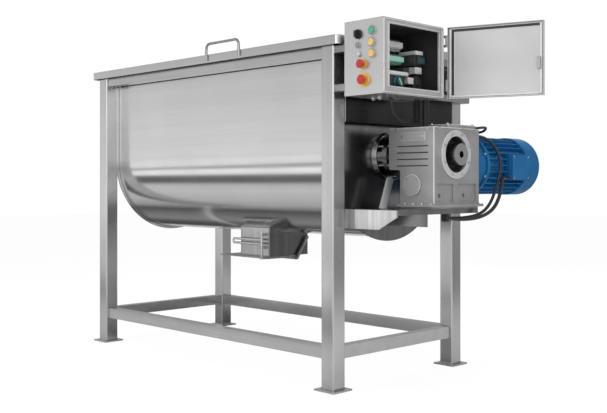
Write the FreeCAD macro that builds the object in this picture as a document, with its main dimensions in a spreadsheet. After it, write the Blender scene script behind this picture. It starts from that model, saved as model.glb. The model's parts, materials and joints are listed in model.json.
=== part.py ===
# Horizontal ribbon mixer for snack food: a U trough with a helical ribbon rotor,
# carried between four legs, with a bevel gear unit, a motor and a control
# cabinet at its drive end. Millimetres. The origin is on the floor, midway
# between the four legs: +X runs along the trough to the drive end, +Y to the
# rear, where the lid is hinged, and +Z up.

import FreeCAD, Part
import math
import os

import Sketcher

doc = FreeCAD.newDocument("snack_mixer")
sheet = doc.addObject("Spreadsheet::Sheet", "Sizes")

# Driving sizes: lengths in millimetres, angles in degrees, and counts

# Frame: four square legs, stretchers near the floor and rails under the rim
frame_length = 1845
leg_side = 75
leg_wall = 3
leg_round = 8
foot_margin = 21.5
foot_thick = 8
rail_wide = 50
rail_wall = 3
rail_setback = 12.5
stretcher_tall = 55
stretcher_low = 136
top_rail_tall = 60

# Trough: the height of its axis, and of the rim above it
shaft_height = 1020
rim_rise = 482
trough_radius = 375
trough_wall = 3
end_wall = 6
end_margin = 16
end_gap = 1
rim_thick = 3
gasket_wide = 16
gasket_tall = 15.7
gasket_inset = 14
seat_gap = 0.3
panel_rise = 140
panel_thick = 4
shaft_radius = 38
shaft_clear = 0.8

# Running fits, and the side play of what turns
run_gap = 0.05
side_gap = 0.5

# Lid, its handle and its hinges
lid_over_end = 41.5
lid_over_side = 20
lid_plate = 3
lid_skirt = 40
lid_corner = 18
handle_rod = 13
handle_wide = 256
handle_tall = 86
handle_centre = 210
handle_bend = 26
handle_rise = 10
hinge_span = 700
hinge_rise = 6
hinge_pin_dia = 12
hinge_wall = 4
hinge_step = 12
hinge_long = 36
hinge_drop = 28
hinge_base_thick = 12
strap_thick = 4.5
strap_tall = 26

# Discharge chute, its flange and its flap
outlet_x = 56
outlet_wide = 210
outlet_front = 135
outlet_wall = 3
outlet_drop = 122
chute_slope_y = 40
chute_slope_tall = 107
flange_thick = 6
flange_left = 228
flange_right = 116
flange_front = 185
flange_rear = 62
flap_gap = 0.5
flap_thick = 5
flap_over_front = 8.5
flap_over = 3
pivot_behind = 8
pivot_dia = 12
pivot_drop = 8.5
lug_thick = 6
lug_half = 9
arm_thick = 6
arm_wide = 16
arm_clear = 2
arm_lean = 35

# Latch: its spindle, eccentric, guides and bent rod grip
spindle_x_from_side = 23
spindle_out = 30
spindle_dia = 14
eccentric_radius = 16
eccentric_throw = 5
guide_tall = 14
guide_lower = 40
guide_upper = 106
guide_half = 13
spindle_over = 7
grip_long = 214
grip_rod = 12
grip_pitch = 21
grip_height = 65

# Rotor and its far bearing
journal_radius = 30
ribbon_gap = 8
ribbon_wide = 50
ribbon_thick = 6
ribbon_pitch = 520
ribbon_end_gap = 6.5
inner_ribbon_radius = 215
arm_rod = 24
arm_seat = 0.6
bearing_long = 56
bearing_flange = 92
bearing_body = 62
bearing_flange_thick = 14
bearing_cap = 10

# Shaft seal
seal_flange_radius = 112
seal_flange_thick = 14
seal_neck_radius = 66
seal_neck_long = 34
seal_bore = 50
gland_radius = 96
gland_thick = 26
gland_sleeve = 24
stud_circle = 86
stud_radius = 5
stud_over = 12
stud_count = 6
collar_radius = 78
collar_long = 24

# Platform of the gear unit, and the strut on it
tray_drop = 237
tray_deep = 22
tray_thick = 4
tray_short = 5
side_deep = 83
side_nose = 31
side_nose_long = 97
rib_front = 60
strut_gap = 2.5
strut_foot_in = 5
strut_lean = 48
strut_tall = 122
strut_half = 20
strut_thick = 10

# Gear unit: where it stands off the frame, and its casting
gear_stand_off = 48.5
gear_long = 250
gear_front = 150
gear_rear = 180
gear_rise = 117
gear_step_in = 63
gear_step_drop = 67
gear_round = 10
base_over = 15
base_thick = 12
base_pad = 8
hub_out = 35
hub_radius = 48
hub_gap = 18
hub_hole = 15
recess_radius = 80
recess_deep = 45
output_ring_wide = 26
output_ring_thick = 10
groove_wide = 4
groove_deep = 4
groove_pitch = 28.5
groove_count = 4
groove_drop = 52
groove_in_near = 46
groove_in_far = 32
pocket_deep = 12
pocket_rise = 9
pocket_tall = 80
pocket_edge = 22
pocket_inner_front = 10
pocket_inner_rear = 20
pocket_hole = 9
pocket_hole_rise = 28
pocket_hole_front = 30
pocket_hole_rear = 80

# Covers and bolts of the gear unit
window_in_near = 69
window_in_far = 45
window_drop = 58
window_tall = 37
cover_thick = 4
round_cover_in = 134
round_cover_rise = 83
round_cover_radius = 47
top_cover_in_far = 8
top_cover_long = 108
top_cover_in_rear = 15
top_cover_thick = 16
bolt_head = 7
bolt_tall = 6
bolt_inset = 11
ring_bolt_count = 8

# Motor
motor_in = 134
motor_drop = 43
adapter_long = 52
adapter_over = 6
adapter_flange = 14
barrel_long = 328
barrel_radius = 112
fin_radius = 134
fin_thick = 4
fin_count = 28
fin_margin = 16
bell_thick = 12
cowl_over_fins = 4
cowl_wall = 2.5
cowl_long = 95
cowl_over = 8
slot_from = 45
slot_wide = 6
slot_count = 24
box_out = 65
box_deep = 80
box_behind = 158
box_long = 145
box_drop = 69
box_tall = 122
box_lid_thick = 12
box_lid_inset = 3
motor_shaft_radius = 14
motor_shaft_in = 14
fan_behind = 30
fan_long = 42
fan_clear = 23.5
fan_hub = 38
blade_thick = 4
blade_count = 9

# Control cabinet, its brackets and its mounting plate
bracket_deep = 55
bracket_short = 7.5
bracket_tall = 30
bracket_low_rise = 24
bracket_high_rise = 189
cabinet_deep = 213
cabinet_wide = 402
cabinet_tall = 312
cabinet_inset = 10.5
cabinet_drop = 241
cabinet_wall = 2
lip_side = 37
lip_low = 33
lip_high = 25
plate_back = 8
plate_sheet = 2.5
plate_inset = 20
din_tall = 35
din_deep = 7

# Cabinet door, how far it stands open, and its cam latch
door_thick = 15
door_over = 7
door_clear = 1
door_open = 108
door_gap = 0.5
door_knuckle = 6
door_pin = 3
door_knuckle_long = 30
door_ear_long = 10
door_hinge_in = 59
cam_up = 155
cam_inset = 22
cam_long = 44
cam_wide = 16

# Devices on the mounting plate: their rows, and each one's width, height and depth
row_high_drop = 73
row_middle_drop = 136
row_low_rise = 97
row_from_front = 67
row_from_rear = 41
device_gap = 8
terminal_wide = 12
upper_terminal_tall = 48
upper_terminal_deep = 46
lower_terminal_tall = 42
lower_terminal_deep = 52
contactor_from_rear = 23
contactor_wide = 56
contactor_tall = 66
contactor_deep = 78
drive_unit_tall = 84
drive_unit_deep = 88
supply_wide = 64
supply_tall = 80
supply_deep = 70
breaker_wide = 36
breaker_tall = 76
breaker_deep = 64
relay_wide = 26
relay_tall = 72
relay_deep = 60

# Operating elements: their places across and up the cabinet's front side
stem_radius = 8
bezel_radius = 20
bezel_thick = 9
cap_radius = 14.5
cap_out = 13
cap_clear = 6
stem_in = 24
selector_across = 79.5
selector_up = 253
green_across = 158.5
green_up = 261
yellow_upper_across = 156.5
yellow_upper_up = 213
yellow_lower_across = 157.5
yellow_lower_up = 167
key_across = 80.5
key_up = 207
lamp_across = 82.5
lamp_up = 171
stop_across = 104.5
stop_up = 127
stop_head = 18
stop_ring = 21
emergency_across = 111.5
emergency_up = 61
emergency_head = 20
emergency_ring = 30
stop_ring_thick = 5
head_out = 31
head_thick = 13
key_radius = 9
key_bezel = 13
key_slot_wide = 2
key_slot_tall = 10
key_slot_deep = 3
knob_bar = 9
cam_head_over = 3.2

# Cables, each held at both ends, and the glands and clips that hold them
cable_radius = 7
thin_cable_radius = 6
motor_cable_radius = 8
conduit_radius = 16
conduit_in = 139
conduit_from_rear = 19
conduit_clear = 8
cord_step = 38
thin_step = 26
cable_grip = 12
grip_length = 18
gland_short = 10
gland_wall = 2
lead_long = 24
lead_short = 16
loop_radius = 72
lug_rise = 22
panel_gland_across = 102.5
panel_gland_in = 184
plug_before_conduit = 36
plug_drop = 105
sensor_gland_in = 225
sensor_gland_rise = 88
sensor_clip_in = 179
sensor_clip_front = 150
motor_clip_in = 219
motor_clip_front = 196
clip_drop = 44
terminal_gland_in = 12
terminal_gland_up = 13
top_gland_in = 26
lug_behind = 98
spare_plug_front_across = 22.5
spare_plug_front_in = 157
spare_plug_middle_across = 68.5
spare_plug_middle_in = 146


class Size:
    """A length that knows its value now and the sheet expression behind it."""

    def __init__(self, value, text):
        self.value = float(value)
        self.text = text

    def __add__(self, other):
        return Size(self.value + worth(other), f"({self.text} + {words(other)})")

    def __radd__(self, other):
        return Size(worth(other) + self.value, f"({words(other)} + {self.text})")

    def __sub__(self, other):
        return Size(self.value - worth(other), f"({self.text} - {words(other)})")

    def __rsub__(self, other):
        return Size(worth(other) - self.value, f"({words(other)} - {self.text})")

    def __mul__(self, other):
        return Size(self.value * worth(other), f"({self.text} * {words(other)})")

    def __rmul__(self, other):
        return self * other

    def __truediv__(self, other):
        return Size(self.value / worth(other), f"({self.text} / {words(other)})")

    def __rtruediv__(self, other):
        return Size(worth(other) / self.value, f"({words(other)} / {self.text})")

    def __neg__(self):
        return Size(-self.value, f"(-1 * {self.text})")


def worth(size):
    return size.value if isinstance(size, Size) else float(size)


def words(size):
    return size.text if isinstance(size, Size) else repr(float(size))


def cosine(angle):
    return Size(math.cos(math.radians(angle.value)), f"cos({angle.text} * 1 deg)")


def sine(angle):
    return Size(math.sin(math.radians(angle.value)), f"sin({angle.text} * 1 deg)")


def root(size):
    return Size(math.sqrt(size.value), f"sqrt({size.text})")


def bind(obj, name, size):
    obj.setExpression(name, words(size))


# Each driving size goes into a cell of the sheet, and its name then stands for that cell
DRIVING = {name: size for name, size in globals().items() if type(size) in (int, float)}
for row, (name, size) in enumerate(DRIVING.items(), start=1):
    sheet.set(f"A{row}", name)
    sheet.set(f"B{row}", str(size))
    sheet.setAlias(f"B{row}", name)
    globals()[name] = Size(size, f"Sizes.{name}")

# Sizes and places that follow from them

half_length = frame_length / 2
trough_outer = trough_radius + trough_wall
end_half = trough_outer + end_margin
rail_in_y = end_half + end_gap
half_width = rail_in_y + rail_wide + rail_setback
leg_in_x = half_length - leg_side
leg_in_y = half_width - leg_side
trough_end = leg_in_x - end_wall
frame_top = shaft_height + rim_rise
rim_top = frame_top + rim_thick
panel_low = shaft_height + panel_rise

lid_under = rim_top + gasket_tall + seat_gap
lid_top = lid_under + lid_plate
lid_half_x = half_length + lid_over_end
lid_half_y = half_width + lid_over_side
skirt_low = lid_top - lid_skirt
handle_foot = skirt_low + handle_rise
hinge_radius = hinge_pin_dia / 2 + hinge_wall
hinge_y = lid_half_y + hinge_radius
hinge_z = skirt_low + hinge_rise

outlet_low_x = outlet_x - outlet_wide / 2
outlet_high_x = outlet_x + outlet_wide / 2
chute_low = shaft_height - trough_outer - outlet_drop
flange_low = chute_low - flange_thick
flap_top = flange_low - flap_gap
flap_front = outlet_front + flap_over_front
pivot_y = chute_slope_y + pivot_behind
pivot_z = flap_top - pivot_drop
pivot_to_shaft = shaft_height - pivot_z
arm_reach = root(pivot_y * pivot_y + pivot_to_shaft * pivot_to_shaft) - trough_outer - arm_clear
arm_long = arm_reach - arm_wide / 2
spindle_x = outlet_high_x - spindle_x_from_side
spindle_y = outlet_front + spindle_out

ribbon_outer = trough_radius - ribbon_gap
ribbon_start = trough_end - ribbon_end_gap - ribbon_wide / 2

gear_near = half_length + gear_stand_off
gear_far = gear_near + gear_long
gear_top = shaft_height + gear_rise
gear_step_x = gear_near + gear_step_in
gear_step_z = shaft_height - gear_step_drop
gear_y = (-gear_front, gear_rear)
hub_face = gear_far + hub_out
hub_thick = recess_deep + hub_out - hub_gap
output_ring_radius = recess_radius + output_ring_wide
ring_bolt_circle = recess_radius + output_ring_wide / 2

tray_top = shaft_height - tray_drop
tray_end = gear_far - tray_short
tray_rear = gear_rear
base_low = tray_top + base_pad
gear_low = base_low + base_thick
side_low = tray_top - side_deep
side_end = tray_end - tray_thick
side_corner_x = side_end - side_nose_long
side_corner_z = tray_top - side_nose
strut_x = half_length + strut_gap
strut_low_y = strut_foot_in - gear_front
strut_top_y = strut_low_y + strut_lean
strut_top_z = tray_top + strut_tall

groove_low = shaft_height - groove_drop
groove_from = gear_near + groove_in_near
groove_to = gear_far - groove_in_far
pocket_low = gear_low + pocket_rise
pocket_high = pocket_low + pocket_tall
window_low_x = gear_near + window_in_near
window_high_x = gear_far - window_in_far
window_low_z = gear_top - window_drop
window_high_z = window_low_z + window_tall
round_cover_x = gear_near + round_cover_in
round_cover_z = gear_low + round_cover_rise
top_cover_high_x = gear_far - top_cover_in_far
top_cover_low_x = top_cover_high_x - top_cover_long
top_cover_high_y = gear_rear - top_cover_in_rear

motor_x = gear_near + motor_in
motor_z = shaft_height - motor_drop
adapter_end = gear_rear + adapter_long
adapter_radius = fin_radius + adapter_over
adapter_neck = barrel_radius
barrel_end = adapter_end + barrel_long
cowl_radius = fin_radius + cowl_over_fins
cowl_seat = cowl_radius - cowl_wall
cowl_end = barrel_end + cowl_long
box_near = motor_x + box_out
box_far = box_near + box_deep
box_low_y = adapter_end + box_behind
box_high_y = box_low_y + box_long
box_low_z = motor_z - box_drop
box_high_z = box_low_z + box_tall
motor_shaft_start = gear_rear + motor_shaft_in
fan_start = barrel_end + fan_behind
fan_radius = cowl_seat - fan_clear
slot_to = fan_radius

cabinet_near = half_length + bracket_deep
cabinet_far = cabinet_near + cabinet_deep
cabinet_front = half_width - cabinet_inset
cabinet_rear = cabinet_front - cabinet_wide
cabinet_low = frame_top - cabinet_drop
cabinet_high = cabinet_low + cabinet_tall
bracket_reach = half_width - bracket_short
bracket_low = cabinet_low + bracket_low_rise
bracket_high = cabinet_low + bracket_high_rise
door_hinge_low = cabinet_low + door_hinge_in
door_hinge_high = cabinet_high - door_hinge_in
door_rear = door_over + door_clear - cabinet_rear
hinge_turn_x = cabinet_far + door_gap + door_thick / 2
hinge_turn_y = door_rear + door_knuckle
row_high = cabinet_high - row_high_drop
row_middle = cabinet_high - row_middle_drop
row_low = cabinet_low + row_low_rise
row_start = row_from_front - cabinet_front
row_end = -cabinet_rear - row_from_rear

SPOTS = {
    "selector": (cabinet_near + selector_across, cabinet_low + selector_up),
    "green": (cabinet_near + green_across, cabinet_low + green_up),
    "yellow_upper": (cabinet_near + yellow_upper_across, cabinet_low + yellow_upper_up),
    "yellow_lower": (cabinet_near + yellow_lower_across, cabinet_low + yellow_lower_up),
    "key": (cabinet_near + key_across, cabinet_low + key_up),
    "lamp": (cabinet_near + lamp_across, cabinet_low + lamp_up),
    "stop": (cabinet_near + stop_across, cabinet_low + stop_up),
    "emergency": (cabinet_near + emergency_across, cabinet_low + emergency_up),
}

conduit_x = gear_near + conduit_in
conduit_y = -cabinet_rear - conduit_from_rear
top_cover_low_y = conduit_y + conduit_radius + conduit_clear
cover_top = gear_top + top_cover_thick
tray_under = tray_top - tray_thick
clip_z = tray_top - clip_drop
panel_gland_x = cabinet_near + panel_gland_across
panel_gland_y = panel_gland_in - cabinet_front
plug_near_y = conduit_y - plug_before_conduit
sensor_gland_x = gear_near + sensor_gland_in
sensor_gland_z = shaft_height + sensor_gland_rise
sensor_clip_x = gear_near + sensor_clip_in
sensor_clip_y = gear_rear - sensor_clip_front
motor_clip_x = gear_near + motor_clip_in
motor_clip_y = gear_rear - motor_clip_front
terminal_gland_x = box_far - terminal_gland_in
terminal_gland_z = box_low_z + terminal_gland_up
top_gland_x = top_cover_high_x - top_gland_in
lug_y = adapter_end + lug_behind
spare_front = (cabinet_near + spare_plug_front_across, spare_plug_front_in - cabinet_front)
spare_middle = (cabinet_near + spare_plug_middle_across, spare_plug_middle_in - cabinet_front)

PARTS = []


def keep(obj, label):
    """Name a sub-part, which is then written to a file of that name."""
    obj.Label = label
    PARTS.append(obj)
    return obj


def place(obj, x, y, z):
    bind(obj, "Placement.Base.x", x)
    bind(obj, "Placement.Base.y", y)
    bind(obj, "Placement.Base.z", z)
    return obj


def block(name, x, y, z):
    """A box between a low and a high value on each axis."""
    box = doc.addObject("Part::Box", name)
    bind(box, "Length", x[1] - x[0])
    bind(box, "Width", y[1] - y[0])
    bind(box, "Height", z[1] - z[0])
    return place(box, x[0], y[0], z[0])


TURNS = {
    "x": FreeCAD.Rotation(FreeCAD.Vector(0, 1, 0), 90),
    "y": FreeCAD.Rotation(FreeCAD.Vector(1, 0, 0), -90),
    "z": FreeCAD.Rotation(),
}


def rod(name, axis, span, centre, radius):
    """A round bar along an axis. The centre gives the other two coordinates in order."""
    bar = doc.addObject("Part::Cylinder", name)
    bar.Placement = FreeCAD.Placement(FreeCAD.Vector(), TURNS[axis])
    bind(bar, "Radius", radius)
    bind(bar, "Height", span[1] - span[0])
    spot = {
        "x": (span[0], centre[0], centre[1]),
        "y": (centre[0], span[0], centre[1]),
        "z": (centre[0], centre[1], span[0]),
    }[axis]
    return place(bar, *spot)


def bent_rod(name, centre, bend, radius, quarter):
    """A quarter bend of a round bar in the XZ plane, starting at an angle from +X to +Z."""
    bow = doc.addObject("Part::Torus", name)
    upright = FreeCAD.Rotation(FreeCAD.Vector(1, 0, 0), 90)
    around = FreeCAD.Rotation(FreeCAD.Vector(0, -1, 0), quarter)
    bow.Placement = FreeCAD.Placement(FreeCAD.Vector(), around.multiply(upright))
    bind(bow, "Radius1", bend)
    bind(bow, "Radius2", radius)
    bow.Angle3 = 90
    return place(bow, *centre)


def cut(name, base, *tools):
    result = doc.addObject("Part::Cut", name)
    result.Base = base
    result.Tool = tools[0] if len(tools) == 1 else join(name + "_tools", *tools)
    return result


def join(name, *pieces):
    result = doc.addObject("Part::MultiFuse", name)
    result.Shapes = list(pieces)
    return result


def group(name, *pieces):
    """Separate solids that share one node."""
    result = doc.addObject("Part::Compound", name)
    result.Links = list(pieces)
    return result


def tube(name, axis, x, y, z, wall):
    """A square hollow section along an axis, open at both ends."""
    outer = block(name + "_outer", x, y, z)
    inner = [
        span if letter == axis else (span[0] + wall, span[1] - wall)
        for letter, span in zip("xyz", (x, y, z))
    ]
    return cut(name, outer, block(name + "_inner", *inner))


def edges_where(shape, test):
    return [f"Edge{i + 1}" for i, edge in enumerate(shape.Edges) if test(edge)]


def runs_along(edge, axis):
    """Whether an edge is straight along an axis."""
    if not isinstance(edge.Curve, Part.Line):
        return False
    direction = edge.tangentAt(edge.FirstParameter)
    return abs({"x": direction.x, "y": direction.y, "z": direction.z}[axis]) > 0.999


# Sketched bodies


def new_body(name):
    return doc.addObject("PartDesign::Body", name)


def plane_of(body, role):
    for feature in body.Origin.OriginFeatures:
        if feature.Role == role:
            return feature
    raise ValueError(role)


def sketch(body, role, name, shift=(0, 0, 0)):
    """A sketch on one of a body's own origin planes, shifted in that plane's frame."""
    drawing = body.newObject("Sketcher::SketchObject", name)
    drawing.AttachmentSupport = [(plane_of(body, role), "")]
    drawing.MapMode = "FlatFace"
    for letter, size in zip("xyz", shift):
        bind(drawing, f"AttachmentOffset.Base.{letter}", size)
    return drawing


def hold_point(drawing, item, end, x, y):
    """Fix a sketch point at a named distance from the origin on both axes."""
    for kind, size, axis in (("DistanceX", x, -2), ("DistanceY", y, -1)):
        if not isinstance(size, Size) and size == 0:
            drawing.addConstraint(Sketcher.Constraint("PointOnObject", item, end, axis))
            continue
        rule = Sketcher.Constraint(kind, -1, 1, item, end, worth(size))
        index = drawing.addConstraint(rule)
        drawing.setExpression(f"Constraints[{index}]", words(size))


def outline(drawing, corners):
    """Draw a closed outline. A corner (x, y, centre, turn) starts an arc about centre."""
    first = drawing.GeometryCount
    ends = []
    for i, corner in enumerate(corners):
        x0, y0 = worth(corner[0]), worth(corner[1])
        following = corners[(i + 1) % len(corners)]
        x1, y1 = worth(following[0]), worth(following[1])
        if len(corner) == 2:
            line = Part.LineSegment(FreeCAD.Vector(x0, y0, 0), FreeCAD.Vector(x1, y1, 0))
            drawing.addGeometry(line, False)
            ends.append((1, 2))
            continue
        cx, cy = worth(corner[2][0]), worth(corner[2][1])
        circle = Part.Circle(
            FreeCAD.Vector(cx, cy, 0), FreeCAD.Vector(0, 0, 1), math.hypot(x0 - cx, y0 - cy)
        )
        start = math.atan2(y0 - cy, x0 - cx)
        stop = math.atan2(y1 - cy, x1 - cx)
        if corner[3] == "right":
            start, stop = stop, start
        if stop <= start:
            stop += 2 * math.pi
        drawing.addGeometry(Part.ArcOfCircle(circle, start, stop), False)
        ends.append((1, 2) if corner[3] == "left" else (2, 1))
    count = len(corners)
    for i, corner in enumerate(corners):
        item, following = first + i, first + (i + 1) % count
        joint = Sketcher.Constraint(
            "Coincident", item, ends[i][1], following, ends[(i + 1) % count][0]
        )
        drawing.addConstraint(joint)
    for i, corner in enumerate(corners):
        hold_point(drawing, first + i, ends[i][0], corner[0], corner[1])
        if len(corner) > 2:
            height = corner[2][1]
            if not isinstance(height, Size) and height == 0:
                drawing.addConstraint(Sketcher.Constraint("PointOnObject", first + i, 3, -1))
                continue
            rule = Sketcher.Constraint("DistanceY", -1, 1, first + i, 3, worth(height))
            index = drawing.addConstraint(rule)
            drawing.setExpression(f"Constraints[{index}]", words(height))


def oblong(drawing, x, y):
    """A rectangle between a low and a high value on each sketch axis."""
    outline(drawing, [(x[0], y[0]), (x[1], y[0]), (x[1], y[1]), (x[0], y[1])])


def soft_oblong(drawing, x, y, radius):
    """A rectangle with rounded corners."""
    (x0, x1), (y0, y1) = x, y
    corners = [
        (x0 + radius, y0),
        (x1 - radius, y0, (x1 - radius, y0 + radius), "left"),
        (x1, y0 + radius),
        (x1, y1 - radius, (x1 - radius, y1 - radius), "left"),
        (x1 - radius, y1),
        (x0 + radius, y1, (x0 + radius, y1 - radius), "left"),
        (x0, y1 - radius),
        (x0, y0 + radius, (x0 + radius, y0 + radius), "left"),
    ]
    outline(drawing, corners)


def ring(drawing, x, y, radius):
    item = drawing.GeometryCount
    middle = FreeCAD.Vector(worth(x), worth(y), 0)
    drawing.addGeometry(Part.Circle(middle, FreeCAD.Vector(0, 0, 1), worth(radius)), False)
    hold_point(drawing, item, 3, x, y)
    index = drawing.addConstraint(Sketcher.Constraint("Radius", item, worth(radius)))
    drawing.setExpression(f"Constraints[{index}]", words(radius))


def pad(body, drawing, length, name, reverse=False):
    feature = body.newObject("PartDesign::Pad", name)
    feature.Profile = drawing
    bind(feature, "Length", length)
    feature.Reversed = reverse
    drawing.Visibility = False
    return feature


def pocket(body, drawing, length, name, reverse=False):
    """Cut a sketch into the body, and make sure that it removed something."""
    doc.recompute()
    before = body.Shape.Volume
    feature = body.newObject("PartDesign::Pocket", name)
    feature.Profile = drawing
    bind(feature, "Length", length)
    feature.Reversed = reverse
    doc.recompute()
    if not body.Shape.Volume < before - 1e-6:
        raise ValueError(f"{name} cuts nothing")
    return feature


def round_edges(body, radius, name, test):
    doc.recompute()
    base = body.Tip
    fillet = body.newObject("PartDesign::Fillet", name)
    fillet.Base = (base, edges_where(base.Shape, test))
    bind(fillet, "Radius", radius)
    doc.recompute()
    return fillet


def turned(name, axis, centre, corners):
    """A body turned about X or Y. Each corner is a place along the axis and a radius."""
    body = new_body(name)
    plane, depth = ("XZ_Plane", -centre[0]) if axis == "x" else ("YZ_Plane", centre[0])
    drawing = sketch(body, plane, name + "_outline", (0, centre[1], depth))
    outline(drawing, corners)
    feature = body.newObject("PartDesign::Revolution", name + "_turn")
    feature.Profile = drawing
    feature.ReferenceAxis = (drawing, ["H_Axis"])
    feature.Angle = 360
    drawing.Visibility = False
    return body


def disc(name, axis, span, centre, radius, hole):
    """A flat ring or collar with a hole through it, turned about an axis."""
    low, high = span
    corners = [(low, hole), (high, hole), (high, radius), (low, radius)]
    return turned(name, axis, centre, corners)


ENDS = (("far", -1), ("drive", 1))
SIDES = (("front", -1), ("rear", 1))


def span_of(sign, low, high):
    """The same span on the far side of zero when the sign is negative."""
    return (low, high) if sign > 0 else (-high, -low)


# Legs and their foot plates


def make_legs():
    legs, feet = [], []
    for end, x_sign in ENDS:
        for side, y_sign in SIDES:
            name = f"leg_{end}_{side}"
            x = span_of(x_sign, leg_in_x, half_length)
            y = span_of(y_sign, leg_in_y, half_width)
            body = new_body(name)
            outer = sketch(body, "XY_Plane", name + "_outer", (0, 0, foot_thick))
            oblong(outer, x, y)
            pad(body, outer, frame_top - foot_thick, name + "_pad")
            round_edges(body, leg_round, name + "_round", lambda edge: runs_along(edge, "z"))
            inner = sketch(body, "XY_Plane", name + "_inner", (0, 0, frame_top))
            oblong(inner, (x[0] + leg_wall, x[1] - leg_wall), (y[0] + leg_wall, y[1] - leg_wall))
            pocket(body, inner, frame_top - foot_thick, name + "_hollow")
            legs.append(body)
            foot = block(
                f"foot_{end}_{side}",
                (x[0] - foot_margin, x[1] + foot_margin),
                (y[0] - foot_margin, y[1] + foot_margin),
                (0, foot_thick),
            )
            feet.append(foot)
    keep(group("legs", *legs), "legs")
    keep(group("foot_plates", *feet), "foot_plates")


# Stretchers near the floor, and the rails that carry the trough's rim


def make_rails():
    low = (stretcher_low, stretcher_low + stretcher_tall)
    high = (frame_top - top_rail_tall, frame_top)
    for label, z in (("stretchers", low), ("top_rails", high)):
        tubes = []
        for side, sign in SIDES:
            y = span_of(sign, rail_in_y, rail_in_y + rail_wide)
            tubes.append(tube(f"{label}_{side}", "x", (-leg_in_x, leg_in_x), y, z, rail_wall))
        for end, sign in ENDS:
            rail_out_x = half_length - rail_setback
            x = span_of(sign, rail_out_x - rail_wide, rail_out_x)
            tubes.append(tube(f"{label}_{end}", "y", x, (-leg_in_y, leg_in_y), z, rail_wall))
        keep(group(label, *tubes), label)


# Trough: a U sheet with a rim frame, closed by two end plates


def u_outline(drawing, radius, top, inner=None):
    """A U open at the top, as a solid plate or, with an inner radius, as a bent sheet."""
    middle = (0, shaft_height)
    corners = [
        (-radius, top),
        (-radius, shaft_height, middle, "left"),
        (radius, shaft_height),
        (radius, top),
    ]
    if inner is not None:
        corners += [
            (inner, top),
            (inner, shaft_height, middle, "right"),
            (-inner, shaft_height),
            (-inner, top),
        ]
    outline(drawing, corners)


def make_trough():
    shell = new_body("trough_shell_body")
    bend = sketch(shell, "YZ_Plane", "trough_u", (0, 0, -trough_end))
    u_outline(bend, trough_outer, frame_top, trough_radius)
    pad(shell, bend, trough_end * 2, "trough_pad")
    mouth = sketch(shell, "XY_Plane", "outlet_mouth", (0, 0, shaft_height))
    oblong(mouth, (outlet_low_x, outlet_high_x), (-outlet_front, outlet_front))
    pocket(shell, mouth, trough_outer + trough_wall, "outlet_cut")
    keep(shell, "trough_shell")

    for end, low in (("far", -leg_in_x), ("drive", trough_end)):
        plate = new_body(f"{end}_plate_body")
        face = sketch(plate, "YZ_Plane", f"{end}_plate_u", (0, 0, low))
        u_outline(face, end_half, frame_top)
        ring(face, 0, shaft_height, shaft_radius + shaft_clear)
        pad(plate, face, end_wall, f"{end}_plate_pad")
        keep(plate, f"{end}_end_plate")

    rim = new_body("trough_rim_body")
    frame = sketch(rim, "XY_Plane", "rim_frame", (0, 0, frame_top))
    oblong(frame, (-half_length, half_length), (-half_width, half_width))
    oblong(frame, (-trough_end, trough_end), (-trough_radius, trough_radius))
    pad(rim, frame, rim_thick, "rim_pad")
    keep(rim, "trough_rim")

    gasket = new_body("rim_gasket_body")
    seal = sketch(gasket, "XY_Plane", "gasket_ring", (0, 0, rim_top))
    outer_x = half_length - gasket_inset
    outer_y = half_width - gasket_inset
    oblong(seal, (-outer_x, outer_x), (-outer_y, outer_y))
    inner_x = outer_x - gasket_wide
    inner_y = outer_y - gasket_wide
    oblong(seal, (-inner_x, inner_x), (-inner_y, inner_y))
    pad(gasket, seal, gasket_tall, "gasket_pad")
    keep(gasket, "rim_gasket")

    cover = block(
        "drive_panel",
        (half_length - panel_thick, half_length),
        (-leg_in_y, leg_in_y),
        (panel_low, frame_top - top_rail_tall),
    )
    keep(cover, "drive_panel")


# Discharge chute under the trough, its flange, and the flap that shuts it


def chute_side(body, name, x, front, slope_y, rear_z):
    """Fill the chute's outline seen along X: a straight front and a sloping rear wall."""
    drawing = sketch(body, "YZ_Plane", name, (0, 0, x[0]))
    top = shaft_height - trough_radius / 2
    corners = [
        (-front, chute_low),
        (slope_y, chute_low),
        (front, rear_z),
        (front, top),
        (-front, top),
    ]
    outline(drawing, corners)
    pad(body, drawing, x[1] - x[0], name + "_pad")


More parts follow.
